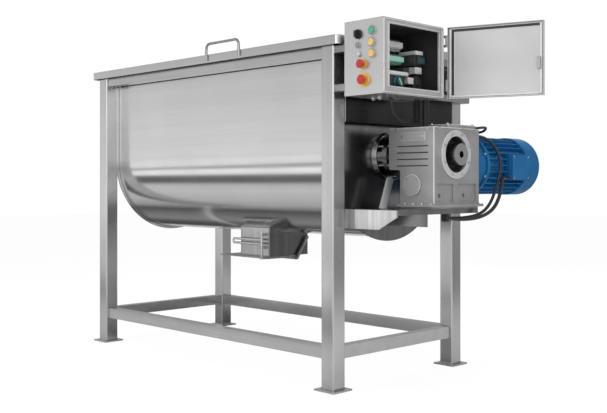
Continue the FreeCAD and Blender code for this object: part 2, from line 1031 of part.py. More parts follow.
def make_outlet():
    front = outlet_front + outlet_wall
    run = outlet_front - chute_slope_y
    slant = root(run * run + chute_slope_tall * chute_slope_tall)
    outer_y = chute_slope_y + outlet_wall * slant / chute_slope_tall
    outer_z = chute_low + (front - outer_y) * chute_slope_tall / run
    spans = (outlet_low_x - outlet_wall, outlet_high_x + outlet_wall)
    outer = new_body("chute_outer")
    chute_side(outer, "chute_outer_side", spans, front, outer_y, outer_z)
    cheeks = [
        block(
            f"chute_cheek_{end}",
            (low, low + outlet_wall),
            (-front, front),
            (chute_low, shaft_height - trough_radius / 2),
        )
        for end, low in (("far", spans[0]), ("drive", outlet_high_x))
    ]
    inner = new_body("chute_inner")
    inside = (outlet_low_x, outlet_high_x)
    rear_z = chute_low + chute_slope_tall
    chute_side(inner, "chute_inner_side", inside, outlet_front, chute_slope_y, rear_z)
    trough = rod(
        "chute_saddle", "x", (-trough_end, trough_end), (0, shaft_height), trough_outer
    )
    walls = cut("chute_walls", join("chute_solid", outer, *cheeks), inner, trough)

    # Two eyes on the front face guide the latch spindle
    centre = (spindle_x, -spindle_y)
    eyes = []
    for name, rise in (("lower", guide_lower), ("upper", guide_upper)):
        z = (chute_low + rise, chute_low + rise + guide_tall)
        x = (spindle_x - guide_half, spindle_x + guide_half)
        eye = join(
            f"guide_eye_{name}",
            block(f"guide_block_{name}", x, (-spindle_y, -front), z),
            rod(f"guide_round_{name}", "z", z, centre, guide_half),
        )
        hole = rod(f"guide_hole_{name}", "z", z, centre, spindle_dia / 2 + run_gap)
        eyes.append(cut(f"guide_{name}", eye, hole))
    keep(join("outlet_chute", walls, *eyes), "outlet_chute")

    flange = new_body("outlet_flange_body")
    plate = sketch(flange, "XY_Plane", "flange_plate", (0, 0, flange_low))
    oblong(plate, (outlet_x - flange_left, outlet_x + flange_right), (-flange_front, flange_rear))
    oblong(plate, (outlet_low_x, outlet_high_x), (-outlet_front, chute_slope_y))
    ring(plate, spindle_x, -spindle_y, spindle_dia / 2 + side_gap)
    pad(flange, plate, flange_thick, "flange_pad")
    keep(flange, "outlet_flange")

    lugs = []
    for end, sign in ENDS:
        low = outlet_wide / 2 + flap_over + side_gap
        near, far = outlet_x + sign * low, outlet_x + sign * (low + lug_thick)
        x = (near, far) if sign > 0 else (far, near)
        y = (pivot_y - lug_half, pivot_y + lug_half)
        ear = join(
            f"lug_ear_{end}",
            block(f"lug_top_{end}", x, y, (pivot_z, flange_low)),
            rod(f"lug_round_{end}", "x", x, (pivot_y, pivot_z), lug_half),
        )
        hole = rod(f"lug_hole_{end}", "x", x, (pivot_y, pivot_z), pivot_dia / 2 + run_gap)
        lugs.append(cut(f"lug_{end}", ear, hole))
    keep(group("flap_hinge", *lugs), "flap_hinge")


def make_flap():
    """The flap turns about a shaft behind it, with an arm beside the chute."""
    x = (outlet_low_x - flap_over, outlet_high_x + flap_over)
    plate = block("flap_plate", x, (-flap_front, pivot_y), (flap_top - flap_thick, flap_top))
    barrel = rod("flap_barrel", "x", x, (pivot_y, pivot_z), pivot_drop - side_gap)
    arm_low = outlet_x + flange_right + side_gap * 4
    shaft = rod(
        "flap_shaft",
        "x",
        (outlet_x - flange_right, arm_low + arm_thick),
        (pivot_y, pivot_z),
        pivot_dia / 2,
    )
    arm = new_body("flap_arm_body")
    drawing = sketch(arm, "YZ_Plane", "flap_arm_outline", (pivot_y, pivot_z, arm_low))
    half = arm_wide / 2
    across = (half * cosine(arm_lean), half * sine(arm_lean))
    tip = (arm_long * sine(arm_lean), arm_long * cosine(arm_lean))
    corners = [
        (across[0], -across[1]),
        (tip[0] + across[0], tip[1] - across[1], tip, "left"),
        (tip[0] - across[0], tip[1] + across[1]),
        (-across[0], across[1], (0, 0), "left"),
    ]
    outline(drawing, corners)
    pad(arm, drawing, arm_thick, "flap_arm_pad")
    keep(join("outlet_flap", plate, barrel, shaft, arm), "outlet_flap")


# Latch: a spindle with an eccentric at its foot and a bent rod handle


def make_latch():
    centre = (spindle_x, -spindle_y)
    foot = flap_top - flap_thick - flap_gap
    top = chute_low + guide_upper + guide_tall + spindle_over
    spindle = rod("latch_spindle", "z", (foot, top), centre, spindle_dia / 2)
    eccentric = rod(
        "latch_eccentric",
        "z",
        (foot, flap_top - flap_gap),
        (spindle_x, -spindle_y + eccentric_throw),
        eccentric_radius,
    )
    bars = []
    low_z = chute_low + grip_height
    for name, z in (("lower", low_z), ("upper", low_z + grip_pitch)):
        span = (spindle_x - grip_long, spindle_x)
        bars.append(rod(f"grip_{name}", "x", span, (-spindle_y, z), grip_rod / 2))
    middle = (spindle_x - grip_long, -spindle_y, low_z + grip_pitch / 2)
    bend = [
        bent_rod(f"grip_bend_{quarter}", middle, grip_pitch / 2, grip_rod / 2, quarter)
        for quarter in (90, 180)
    ]
    keep(join("latch_handle", spindle, eccentric, *bend, *bars), "latch_handle")


# Rotor: a stepped shaft, seven cross arms and two opposed pairs of helical ribbons


def ribbon(name, sign, radius, side):
    """One half of a ribbon, wound from an end plate to the middle of the trough."""
    body = new_body(name)
    drawing = sketch(body, "XZ_Plane", name + "_section", (sign * ribbon_start, shaft_height, 0))
    half = ribbon_wide / 2
    low, high = (radius - ribbon_thick, radius) if side > 0 else (-radius, -radius + ribbon_thick)
    oblong(drawing, (-half, half), (low, high))
    coil = body.newObject("PartDesign::AdditiveHelix", name + "_coil")
    coil.Profile = drawing
    coil.ReferenceAxis = (drawing, ["H_Axis"])
    coil.Mode = "pitch-height-angle"
    bind(coil, "Pitch", ribbon_pitch)
    bind(coil, "Height", ribbon_start - ribbon_wide / 2 - side_gap)
    coil.Angle = 0
    coil.LeftHanded = side * sign > 0
    coil.Reversed = sign > 0
    drawing.Visibility = False
    return body


def make_rotor():
    for label, radius, side in (
        ("outer_ribbon", ribbon_outer, 1),
        ("inner_ribbon", inner_ribbon_radius, -1),
    ):
        halves = [
            ribbon(f"{label}_{end}", sign, radius, side) for end, sign in ENDS
        ]
        keep(group(label, *halves), label)

    bearing_end = leg_in_x + bearing_long - bearing_cap - side_gap
    shaft = turned(
        "mixer_shaft_body",
        "x",
        (0, shaft_height),
        [
            (-bearing_end, 0),
            (hub_face, 0),
            (hub_face, hub_radius),
            (hub_face - hub_thick, hub_radius),
            (hub_face - hub_thick, journal_radius),
            (gear_near - side_gap * 2, journal_radius),
            (gear_near - side_gap * 2, collar_radius),
            (gear_near - side_gap * 2 - collar_long, collar_radius),
            (gear_near - side_gap * 2 - collar_long, shaft_radius),
            (side_gap - leg_in_x, shaft_radius),
            (side_gap - leg_in_x, journal_radius),
            (-bearing_end, journal_radius),
        ],
    )
    centre = (0, shaft_height)
    thread = rod("shaft_end_hole", "x", (hub_face - hub_thick, hub_face), centre, hub_hole)
    arms, bores = [], []
    half_turn = ribbon_pitch / 2
    stations = [half_turn * i - ribbon_start for i in range(3)]
    stations += [0] + [ribbon_start - half_turn * i for i in (2, 1, 0)]
    for i, x in enumerate(stations):
        up = 1 if i % 2 == 0 else -1
        reach = ribbon_outer - ribbon_thick - arm_seat
        short = inner_ribbon_radius - ribbon_thick - arm_seat
        z = (-short, reach) if up > 0 else (-reach, short)
        span = (shaft_height + z[0], shaft_height + z[1])
        arms.append(rod(f"mixer_arm_{i}", "z", span, (x, 0), arm_rod / 2))
        bores.append(
            rod(
                f"arm_bore_{i}",
                "z",
                (shaft_height - shaft_radius * 2, shaft_height + shaft_radius * 2),
                (x, 0),
                arm_rod / 2,
            )
        )
    keep(group("mixer_arms", *arms), "mixer_arms")
    keep(cut("mixer_shaft", shaft, thread, *bores), "mixer_shaft")

    bearing = turned(
        "far_bearing_body",
        "x",
        (0, shaft_height),
        [
            (-leg_in_x, journal_radius + run_gap),
            (-leg_in_x, bearing_flange),
            (-leg_in_x - bearing_flange_thick, bearing_flange),
            (-leg_in_x - bearing_flange_thick, bearing_body),
            (-leg_in_x - bearing_long, bearing_body),
            (-leg_in_x - bearing_long, 0),
            (-leg_in_x - bearing_long + bearing_cap, 0),
            (-leg_in_x - bearing_long + bearing_cap, journal_radius + run_gap),
        ],
    )
    keep(bearing, "far_bearing")


# Shaft seal between the trough and the gear unit: a flanged housing and a gland on studs


def make_seal():
    centre = (0, shaft_height)
    neck_end = leg_in_x + seal_neck_long
    housing = turned(
        "seal_housing_body",
        "x",
        centre,
        [
            (leg_in_x, seal_bore),
            (neck_end, seal_bore),
            (neck_end, seal_neck_radius),
            (leg_in_x + seal_flange_thick, seal_neck_radius),
            (leg_in_x + seal_flange_thick, seal_flange_radius),
            (leg_in_x, seal_flange_radius),
        ],
    )
    keep(housing, "seal_housing")
    gland_low = neck_end + seat_gap
    gland = turned(
        "seal_gland_body",
        "x",
        centre,
        [
            (gland_low - gland_sleeve, shaft_radius + run_gap),
            (gland_low + gland_thick, shaft_radius + run_gap),
            (gland_low + gland_thick, gland_radius),
            (gland_low, gland_radius),
            (gland_low, seal_bore - run_gap),
            (gland_low - gland_sleeve, seal_bore - run_gap),
        ],
    )
    studs = []
    for i in range(int(stud_count.value)):
        angle = 360 * (i + 0.5) / stud_count
        y = stud_circle * cosine(angle)
        z = shaft_height + stud_circle * sine(angle)
        span = (leg_in_x + seal_flange_thick, gland_low + gland_thick + stud_over)
        studs.append(rod(f"seal_stud_{i}", "x", span, (y, z), stud_radius))
    keep(join("seal_gland", gland, *studs), "seal_gland")


# Lid: a shallow folded tray with a rod handle and three rear hinges


def make_lid():
    body = new_body("lid_body")
    outer = sketch(body, "XY_Plane", "lid_outer", (0, 0, skirt_low))
    soft_oblong(outer, (-lid_half_x, lid_half_x), (-lid_half_y, lid_half_y), lid_corner)
    pad(body, outer, lid_skirt, "lid_pad")
    inner = sketch(body, "XY_Plane", "lid_inner", (0, 0, skirt_low))
    in_x, in_y = lid_half_x - lid_plate, lid_half_y - lid_plate
    soft_oblong(inner, (-in_x, in_x), (-in_y, in_y), lid_corner - lid_plate)
    pocket(body, inner, lid_skirt - lid_plate, "lid_hollow", reverse=True)
    keep(body, "lid_panel")

    radius = handle_rod / 2
    y = -lid_half_y - radius
    low_x = handle_centre - handle_wide / 2 + radius
    high_x = handle_centre + handle_wide / 2 - radius
    top = handle_foot + handle_tall - radius
    bars = [
        rod("lid_handle_left", "z", (handle_foot, top - handle_bend), (low_x, y), radius),
        rod("lid_handle_right", "z", (handle_foot, top - handle_bend), (high_x, y), radius),
        rod("lid_handle_top", "x", (low_x + handle_bend, high_x - handle_bend), (y, top), radius),
    ]
    for name, x, quarter in (
        ("right", high_x - handle_bend, 0),
        ("left", low_x + handle_bend, 90),
    ):
        centre = (x, y, top - handle_bend)
        bars.append(bent_rod(f"lid_handle_bend_{name}", centre, handle_bend, radius, quarter))
    keep(join("lid_handle", *bars), "lid_handle")

    leaves, brackets = [], []
    centre = (hinge_y, hinge_z)
    for place_name, step in (("far", -1), ("middle", 0), ("drive", 1)):
        middle = hinge_span * step
        x = (middle - hinge_long / 2, middle + hinge_long / 2)
        leaf = join(
            f"lid_leaf_solid_{place_name}",
            rod(f"lid_knuckle_{place_name}", "x", x, centre, hinge_radius),
            block(
                f"lid_strap_{place_name}",
                x,
                (lid_half_y, lid_half_y + strap_thick),
                (hinge_z, hinge_z + strap_tall),
            ),
        )
        bore = rod(f"lid_bore_{place_name}", "x", x, centre, hinge_pin_dia / 2 + run_gap)
        leaves.append(cut(f"lid_leaf_{place_name}", leaf, bore))
        low, high = x[0] - side_gap - hinge_step, x[1] + side_gap + hinge_step
        ear_radius = hinge_radius - side_gap
        back = hinge_y + ear_radius
        parts = [
            rod(f"lid_pin_{place_name}", "x", (low, high), centre, hinge_pin_dia / 2),
            block(
                f"lid_bracket_base_{place_name}",
                (low, high),
                (rail_in_y + rail_wide, back),
                (hinge_z - hinge_drop - hinge_base_thick, hinge_z - hinge_drop),
            ),
        ]
        for ear, span in (("low", (low, x[0] - side_gap)), ("high", (x[1] + side_gap, high))):
            y = (hinge_y - ear_radius, back)
            z = (hinge_z - hinge_drop, hinge_z)
            parts.append(block(f"lid_ear_{place_name}_{ear}", span, y, z))
            parts.append(rod(f"lid_ear_round_{place_name}_{ear}", "x", span, centre, ear_radius))
        brackets.append(join(f"lid_bracket_{place_name}", *parts))
    keep(group("lid_hinge_leaves", *leaves), "lid_hinge_leaves")
    keep(group("lid_hinge_brackets", *brackets), "lid_hinge_brackets")


# Platform that carries the gear unit


def make_platform():
    y = (-leg_in_y, tray_rear)
    outer = block("tray_outer", (leg_in_x, tray_end), y, (tray_top - tray_deep, tray_top))
    inner = block(
        "tray_inner",
        (leg_in_x, tray_end - tray_thick),
        (y[0] + tray_thick, y[1] - tray_thick),
        (tray_top - tray_deep, tray_top - tray_thick),
    )
    rib = block(
        "tray_rib",
        (leg_in_x, side_corner_x),
        (-rib_front, tray_thick - rib_front),
        (side_low, tray_top - tray_thick),
    )
    keep(join("gear_platform", cut("tray", outer, inner), rib), "gear_platform")

    side = new_body("side_plate_body")
    drawing = sketch(side, "XZ_Plane", "side_plate_outline", (0, 0, leg_in_y))
    corners = [
        (half_length, side_low),
        (side_corner_x, side_low),
        (side_end, side_corner_z),
        (side_end, tray_top),
        (half_length, tray_top),
    ]
    outline(drawing, corners)
    pad(side, drawing, tray_thick, "side_plate_pad")
    keep(side, "platform_side_plate")

    strut = new_body("torque_strut_body")
    drawing = sketch(strut, "YZ_Plane", "strut_outline", (0, 0, strut_x))
    run, rise = strut_top_y - strut_low_y, strut_top_z - tray_top
    slant = root(run * run + rise * rise)
    over = strut_half * slant / rise
    across, up = strut_half * rise / slant, strut_half * run / slant
    corners = [
        (strut_low_y - over, tray_top),
        (strut_low_y + over, tray_top),
        (strut_top_y + across, strut_top_z - up, (strut_top_y, strut_top_z), "left"),
        (strut_top_y - across, strut_top_z + up),
    ]
    outline(drawing, corners)
    pad(strut, drawing, strut_thick, "strut_pad")
    keep(strut, "torque_strut")


# Gear unit: a cast housing around the shaft end, with covers and bolts


def make_gear_unit():
    body = new_body("gear_body")
    drawing = sketch(body, "XZ_Plane", "gear_side", (0, 0, -gear_rear))
    corners = [
        (gear_near, gear_step_z),
        (gear_step_x, gear_step_z),
        (gear_step_x, gear_low),
        (gear_far, gear_low),
        (gear_far, gear_top),
        (gear_near, gear_top),
    ]
    outline(drawing, corners)
    pad(body, drawing, gear_front + gear_rear, "gear_pad")
    round_edges(
        body,
        gear_round,
        "gear_rounds",
        lambda edge: runs_along(edge, "y") and edge.BoundBox.ZMin > worth(gear_low) + 1,
    )
    centre = (0, shaft_height)
    hollows = [
        rod("gear_bore", "x", (gear_near, gear_far), centre, journal_radius + run_gap),
        rod("gear_recess", "x", (gear_far - recess_deep, gear_far), centre, recess_radius),
    ]
    for i in range(int(groove_count.value)):
        z = groove_low + groove_pitch * i
        hollows.append(
            block(
                f"gear_groove_{i}",
                (groove_from, groove_to),
                (gear_y[0], gear_y[0] + groove_deep),
                (z, z + groove_wide),
            )
        )
    front, rear = pocket_edge - gear_front, gear_rear - pocket_edge
    for name, y, hole_y in (
        ("front", (front, -pocket_inner_front), front + pocket_hole_front),
        ("rear", (pocket_inner_rear, rear), rear - pocket_hole_rear),
    ):
        x = (gear_far - pocket_deep, gear_far)
        hollows.append(block(f"gear_pocket_{name}", x, y, (pocket_low, pocket_high)))
        deep = (gear_far - pocket_deep * 2, gear_far)
        spot = (hole_y, pocket_low + pocket_hole_rise)
        hollows.append(rod(f"gear_pocket_hole_{name}", "x", deep, spot, pocket_hole))
    x = (gear_step_x - base_over / 2, gear_far + base_over)
    y = (gear_y[0] - base_over, gear_y[1] + base_over)
    base = block("gear_base", x, y, (base_low, gear_low))
    foot_x = (gear_step_x, tray_end)
    foot = block("gear_foot", foot_x, gear_y, (tray_top, base_low))
    housing = cut("gear_housing_cut", join("gear_solid", body, base, foot), *hollows)
    keep(housing, "gearbox_housing")

    window = block(
        "gear_window",
        (window_low_x, window_high_x),
        (gear_y[0] - cover_thick, gear_y[0]),
        (window_low_z, window_high_z),
    )
    cap = rod(
        "gear_cap",
        "y",
        (gear_y[0] - cover_thick * 2, gear_y[0]),
        (round_cover_x, round_cover_z),
        round_cover_radius,
    )
    top_x = (top_cover_low_x, top_cover_high_x)
    top_y = (top_cover_low_y, top_cover_high_y)
    lid = block("gear_top_cover", top_x, top_y, (gear_top, cover_top))
    ring_x = (gear_far, gear_far + output_ring_thick)
    output = disc("gear_output_ring", "x", ring_x, centre, output_ring_radius, recess_radius)
    keep(group("gearbox_covers", window, cap, lid, output), "gearbox_covers")

    bolts = []
    ring_face = ring_x[1]
    for i in range(int(ring_bolt_count.value)):
        angle = 360 * (i + 0.5) / ring_bolt_count
        spot = (ring_bolt_circle * cosine(angle), shaft_height + ring_bolt_circle * sine(angle))
        span = (ring_face, ring_face + bolt_tall)
        bolts.append(rod(f"ring_bolt_{i}", "x", span, spot, bolt_head))
    z = (cover_top, cover_top + bolt_tall)
    for i, x in enumerate((top_x[0] + bolt_inset, top_x[1] - bolt_inset)):
        for j, y in enumerate((top_y[0] + bolt_inset, top_y[1] - bolt_inset)):
            bolts.append(rod(f"top_bolt_{i}{j}", "z", z, (x, y), bolt_head))
    y = (gear_y[0] - cover_thick - bolt_tall, gear_y[0] - cover_thick)
    middle = (window_low_z + window_high_z) / 2
    for i, x in enumerate((window_low_x + bolt_inset, window_high_x - bolt_inset)):
        bolts.append(rod(f"window_bolt_{i}", "y", y, (x, middle), bolt_head))
    base_z = (gear_low, gear_low + bolt_tall)
    for i, x in enumerate((gear_step_x + bolt_inset * 3, gear_far - bolt_inset)):
        for j, y in enumerate((gear_y[0] - base_over / 2, gear_y[1] + base_over / 2)):
            bolts.append(rod(f"base_bolt_{i}{j}", "z", base_z, (x, y), bolt_head))
    keep(group("gearbox_bolts", *bolts), "gearbox_bolts")


# Motor on the rear of the gear unit, its fan and its terminal box


def spun(body, feature, drawing, count, name):
    """Repeat a feature evenly about its sketch's normal through the sketch origin."""
    pattern = body.newObject("PartDesign::PolarPattern", name)
    pattern.Originals = [feature]
    pattern.Axis = (drawing, ["N_Axis"])
    pattern.Angle = 360
    bind(pattern, "Occurrences", count)
    body.Tip = pattern
    doc.recompute()
    return pattern


def across_motor(body, name, y):
    """A sketch square to the motor axis, with its origin on the axis."""
    return sketch(body, "XZ_Plane", name, (motor_x, motor_z, -y))


def make_motor():
    centre = (motor_x, motor_z)
    bore = motor_shaft_radius + run_gap
    adapter = turned(
        "motor_adapter_body",
        "y",
        centre,
        [
            (gear_rear, bore),
            (gear_rear, adapter_neck),
            (gear_rear + adapter_flange, adapter_neck),
            (adapter_end - adapter_flange, adapter_radius - adapter_flange),
            (adapter_end - adapter_flange, adapter_radius),
            (adapter_end, adapter_radius),
            (adapter_end, bore),
        ],
    )
    keep(adapter, "motor_adapter")

    body = new_body("motor_body")
    drawing = across_motor(body, "motor_barrel", adapter_end)
    ring(drawing, 0, 0, barrel_radius)
    pad(body, drawing, barrel_end - adapter_end, "motor_barrel_pad", reverse=True)
    drawing = across_motor(body, "motor_bell", adapter_end)
    ring(drawing, 0, 0, fin_radius)
    pad(body, drawing, bell_thick, "motor_bell_pad", reverse=True)
    drawing = across_motor(body, "motor_rear_bell", barrel_end - bell_thick)
    ring(drawing, 0, 0, cowl_seat)
    pad(body, drawing, bell_thick, "motor_rear_bell_pad", reverse=True)
    drawing = across_motor(body, "motor_fin", adapter_end)
    half = fin_thick / 2
    oblong(drawing, (-half, half), (barrel_radius - fin_thick, fin_radius))
    long = barrel_end - adapter_end - fin_margin
    fin = pad(body, drawing, long, "motor_fin_pad", reverse=True)
    spun(body, fin, drawing, fin_count, "motor_fins")
    y = (adapter_end, barrel_end)
    hole = rod("motor_bore", "y", y, centre, bore)
    seat_box = block(
        "motor_box_seat",
        (box_near, box_far),
        (box_low_y, box_high_y),
        (box_low_z, box_high_z),
    )
    keep(cut("motor_housing", body, hole, seat_box), "motor_housing")

    cowl = turned(
        "fan_cowl_body",
        "y",
        centre,
        [
            (barrel_end - cowl_over, cowl_seat),
            (barrel_end - cowl_over, cowl_radius),
            (cowl_end - cowl_wall, cowl_radius),
            (cowl_end, cowl_seat),
            (cowl_end, 0),
            (cowl_end - cowl_wall, 0),
            (cowl_end - cowl_wall, cowl_seat),
        ],
    )
    drawing = across_motor(cowl, "cowl_slot", cowl_end)
    half = slot_wide / 2
    oblong(drawing, (-half, half), (slot_from, slot_to))
    slot = pocket(cowl, drawing, cowl_wall * 2, "cowl_slot_cut", reverse=True)
    spun(cowl, slot, drawing, slot_count, "cowl_slots")
    keep(cowl, "fan_cowl")

    y, z = (box_low_y, box_high_y), (box_low_z, box_high_z)
    keep(block("terminal_box", (box_near, box_far), y, z), "terminal_box")
    inset = box_lid_inset
    cover = block(
        "terminal_lid",
        (box_far, box_far + box_lid_thick),
        (y[0] + inset, y[1] - inset),
        (z[0] + inset, z[1] - inset),
    )
    keep(cover, "terminal_lid")

    rotor = new_body("fan_body")
    drawing = across_motor(rotor, "fan_hub", fan_start)
    ring(drawing, 0, 0, fan_hub)
    pad(rotor, drawing, fan_long, "fan_hub_pad", reverse=True)
    drawing = across_motor(rotor, "fan_blade", fan_start)
    half = blade_thick / 2
    oblong(drawing, (-half, half), (fan_hub - blade_thick, fan_radius))
    blade = pad(rotor, drawing, fan_long, "fan_blade_pad", reverse=True)
    spun(rotor, blade, drawing, blade_count, "fan_blades")
    y = (motor_shaft_start, fan_start + fan_long)
    axle = rod("motor_axle", "y", y, centre, motor_shaft_radius)
    keep(join("motor_rotor", rotor, axle), "motor_rotor")


# Control cabinet on two brackets, with its door, devices and operating elements


def opened(piece):
    """Swing a piece about the door's hinge line, from closed to its place at rest."""
    piece.Placement = FreeCAD.Placement(
        FreeCAD.Vector(), FreeCAD.Rotation(FreeCAD.Vector(0, 0, 1), door_open.value)
    )
    c, s = cosine(door_open), sine(door_open)
    bind(piece, "Placement.Rotation.Angle", door_open)
    shift_x = hinge_turn_x - (hinge_turn_x * c - hinge_turn_y * s)
    shift_y = hinge_turn_y - (hinge_turn_x * s + hinge_turn_y * c)
    return place(piece, shift_x, shift_y, 0)


def make_cabinet():
    x = (cabinet_near, cabinet_far)
    y = (-cabinet_front, -cabinet_rear)
    z = (cabinet_low, cabinet_high)
    wall = cabinet_wall
    outer = block("cabinet_outer", x, y, z)
    inner = block(
        "cabinet_inner",
        (x[0] + wall, x[1] - wall),
        (y[0] + wall, y[1] - wall),
        (z[0] + wall, z[1] - wall),
    )
    mouth = block(
        "cabinet_mouth",
        (x[1] - wall * 2, x[1] + wall),
        (y[0] + lip_side, y[1] - lip_side),
        (z[0] + lip_low, z[1] - lip_high),
    )
    through = (y[0] - wall, y[0] + wall * 2)
    holes = [
        rod(f"cabinet_hole_{name}", "y", through, spot, stem_radius + side_gap)
        for name, spot in SPOTS.items()
    ]
    keep(cut("cabinet_box", outer, inner, mouth, *holes), "cabinet_box")

    rails = []
    for name, low in (("low", bracket_low), ("high", bracket_high)):
        span_x = (half_length, cabinet_near)
        span_y = (-bracket_reach, bracket_reach)
        span_z = (low, low + bracket_tall)
        rails.append(tube(f"bracket_{name}", "y", span_x, span_y, span_z, rail_wall))
    keep(group("cabinet_brackets", *rails), "cabinet_brackets")

    back = x[0] + wall
    plate_x = (back + plate_back, back + plate_back + plate_sheet)
    in_y = (y[0] + plate_inset, y[1] - plate_inset)
    in_z = (z[0] + plate_inset, z[1] - plate_inset)
    parts = [block("plate_sheet", plate_x, in_y, in_z)]
    for i, py in enumerate(in_y):
        for j, pz in enumerate(in_z):
            inward_y = py + plate_inset if i == 0 else py - plate_inset
            inward_z = pz + plate_inset if j == 0 else pz - plate_inset
            spot = (inward_y, inward_z)
            parts.append(rod(f"plate_post_{i}{j}", "x", (back, plate_x[0]), spot, stem_radius))
    for name, middle in (("high", row_high), ("middle", row_middle), ("low", row_low)):
        span_x = (plate_x[1], plate_x[1] + din_deep)
        span_y = (in_y[0] + plate_inset, in_y[1] - plate_inset)
        span_z = (middle - din_tall / 2, middle + din_tall / 2)
        parts.append(block(f"din_rail_{name}", span_x, span_y, span_z))
    keep(join("mounting_plate", *parts), "mounting_plate")


# Devices on the mounting plate: two rows of terminals, and apparatus beside and below them


def make_switchgear():
    base = cabinet_near + cabinet_wall + plate_back + plate_sheet + din_deep

    def device(name, y, middle, tall, deep):
        return block(name, (base, base + deep), y, (middle - tall / 2, middle + tall / 2))

    contactor_high = -cabinet_rear - contactor_from_rear
    contactor_low = contactor_high - contactor_wide
    room = contactor_low - device_gap - row_start
    items = []
    for name, middle, tall, deep in (
        ("upper", row_high, upper_terminal_tall, upper_terminal_deep),
        ("lower", row_middle, lower_terminal_tall, lower_terminal_deep),
    ):
        for i in range(int(room.value / terminal_wide.value)):
            low = row_start + terminal_wide * i
            y = (low, low + terminal_wide - side_gap)
            items.append(device(f"terminal_{name}_{i}", y, middle, tall, deep))
    y = (contactor_low, contactor_high)
    items.append(device("contactor", y, row_middle, contactor_tall, contactor_deep))
    high = row_end
    for name, wide, tall, deep in (
        ("relay", relay_wide, relay_tall, relay_deep),
        ("breaker", breaker_wide, breaker_tall, breaker_deep),
        ("power_supply", supply_wide, supply_tall, supply_deep),
    ):
        items.append(device(name, (high - wide, high), row_low, tall, deep))
        high = high - wide - device_gap
    items.append(device("drive_unit", (row_start, high), row_low, drive_unit_tall, drive_unit_deep))
    keep(group("switchgear", *items), "switchgear")


def make_door():
    """The door is built closed in front of the cabinet, then swung open."""
    x = (cabinet_far + door_gap, cabinet_far + door_gap + door_thick)
    y = (-cabinet_front - door_over, door_rear)
    z = (cabinet_low, cabinet_high)
    wall = cabinet_wall
    outer = block("door_outer", x, y, z)
    inner = block(
        "door_inner",
        (x[0] - wall, x[1] - wall),
        (y[0] + wall, y[1] - wall),
        (z[0] + wall, z[1] - wall),
    )
    spot = (hinge_turn_x, hinge_turn_y)
    cam_y = y[0] + cam_inset
    cam_z = z[0] + cam_up
    cam_hole = rod("cam_hole", "x", (x[0], x[1] + wall), (cam_y, cam_z), stem_radius + run_gap)
    solids = [cut("door_pan", outer, inner, cam_hole)]
    brackets = []
    for name, middle in (("low", door_hinge_low), ("high", door_hinge_high)):
        low, high = middle - door_knuckle_long / 2, middle + door_knuckle_long / 2
        knuckle = join(
            f"door_knuckle_{name}",
            rod(f"door_barrel_{name}", "z", (low, high), spot, door_knuckle),
            block(
                f"door_web_{name}",
                (hinge_turn_x - door_knuckle, hinge_turn_x + door_knuckle),
                (y[1], hinge_turn_y),
                (low, high),
            ),
        )
        bore = rod(f"door_bore_{name}", "z", (low, high), spot, door_pin + run_gap)
        solids.append(cut(f"door_hinge_half_{name}", knuckle, bore))
        low, high = low - door_gap, high + door_gap
        whole = (low - door_ear_long, high + door_ear_long)
        parts = [rod(f"door_pin_{name}", "z", whole, spot, door_pin)]
        for ear, span in (
            ("low", (low - door_ear_long, low)),
            ("high", (high, high + door_ear_long)),
        ):
            parts.append(rod(f"door_ear_{name}_{ear}", "z", span, spot, door_knuckle - door_gap))
            arm_x = (cabinet_far - door_ear_long, hinge_turn_x)
            arm_y = (y[1] + door_gap, hinge_turn_y + door_pin)
            parts.append(block(f"door_ear_arm_{name}_{ear}", arm_x, arm_y, span))
        parts.append(
            block(
                f"door_hinge_leaf_{name}",
                (cabinet_far - door_knuckle_long, cabinet_far - door_ear_long),
                (-cabinet_rear, hinge_turn_y + door_pin),
                whole,
            )
        )
        brackets.append(join(f"door_bracket_{name}", *parts))
    keep(opened(join("cabinet_door", *solids)), "cabinet_door")
    keep(group("cabinet_hinges", *brackets), "cabinet_hinges")

    head = (x[1], x[1] + cam_wide / 2)
    stem = rod("cam_stem", "x", (x[0], head[0]), (cam_y, cam_z), stem_radius)
    cap_x = (head[0] + run_gap, head[1])
    cap = rod("cam_head", "x", cap_x, (cam_y, cam_z), stem_radius + cam_head_over)
    neck = rod("cam_neck", "x", head, (cam_y, cam_z), stem_radius)
    tongue = block(
        "cam_tongue",
        (x[0], x[0] + wall),
        (cam_y - cam_wide / 2, cam_y + cam_wide / 2),
        (cam_z - cam_long, cam_z + cam_wide / 2),
    )
    keep(opened(join("door_latch", stem, cap, neck, tongue)), "door_latch")


# Operating elements on the cabinet's front side


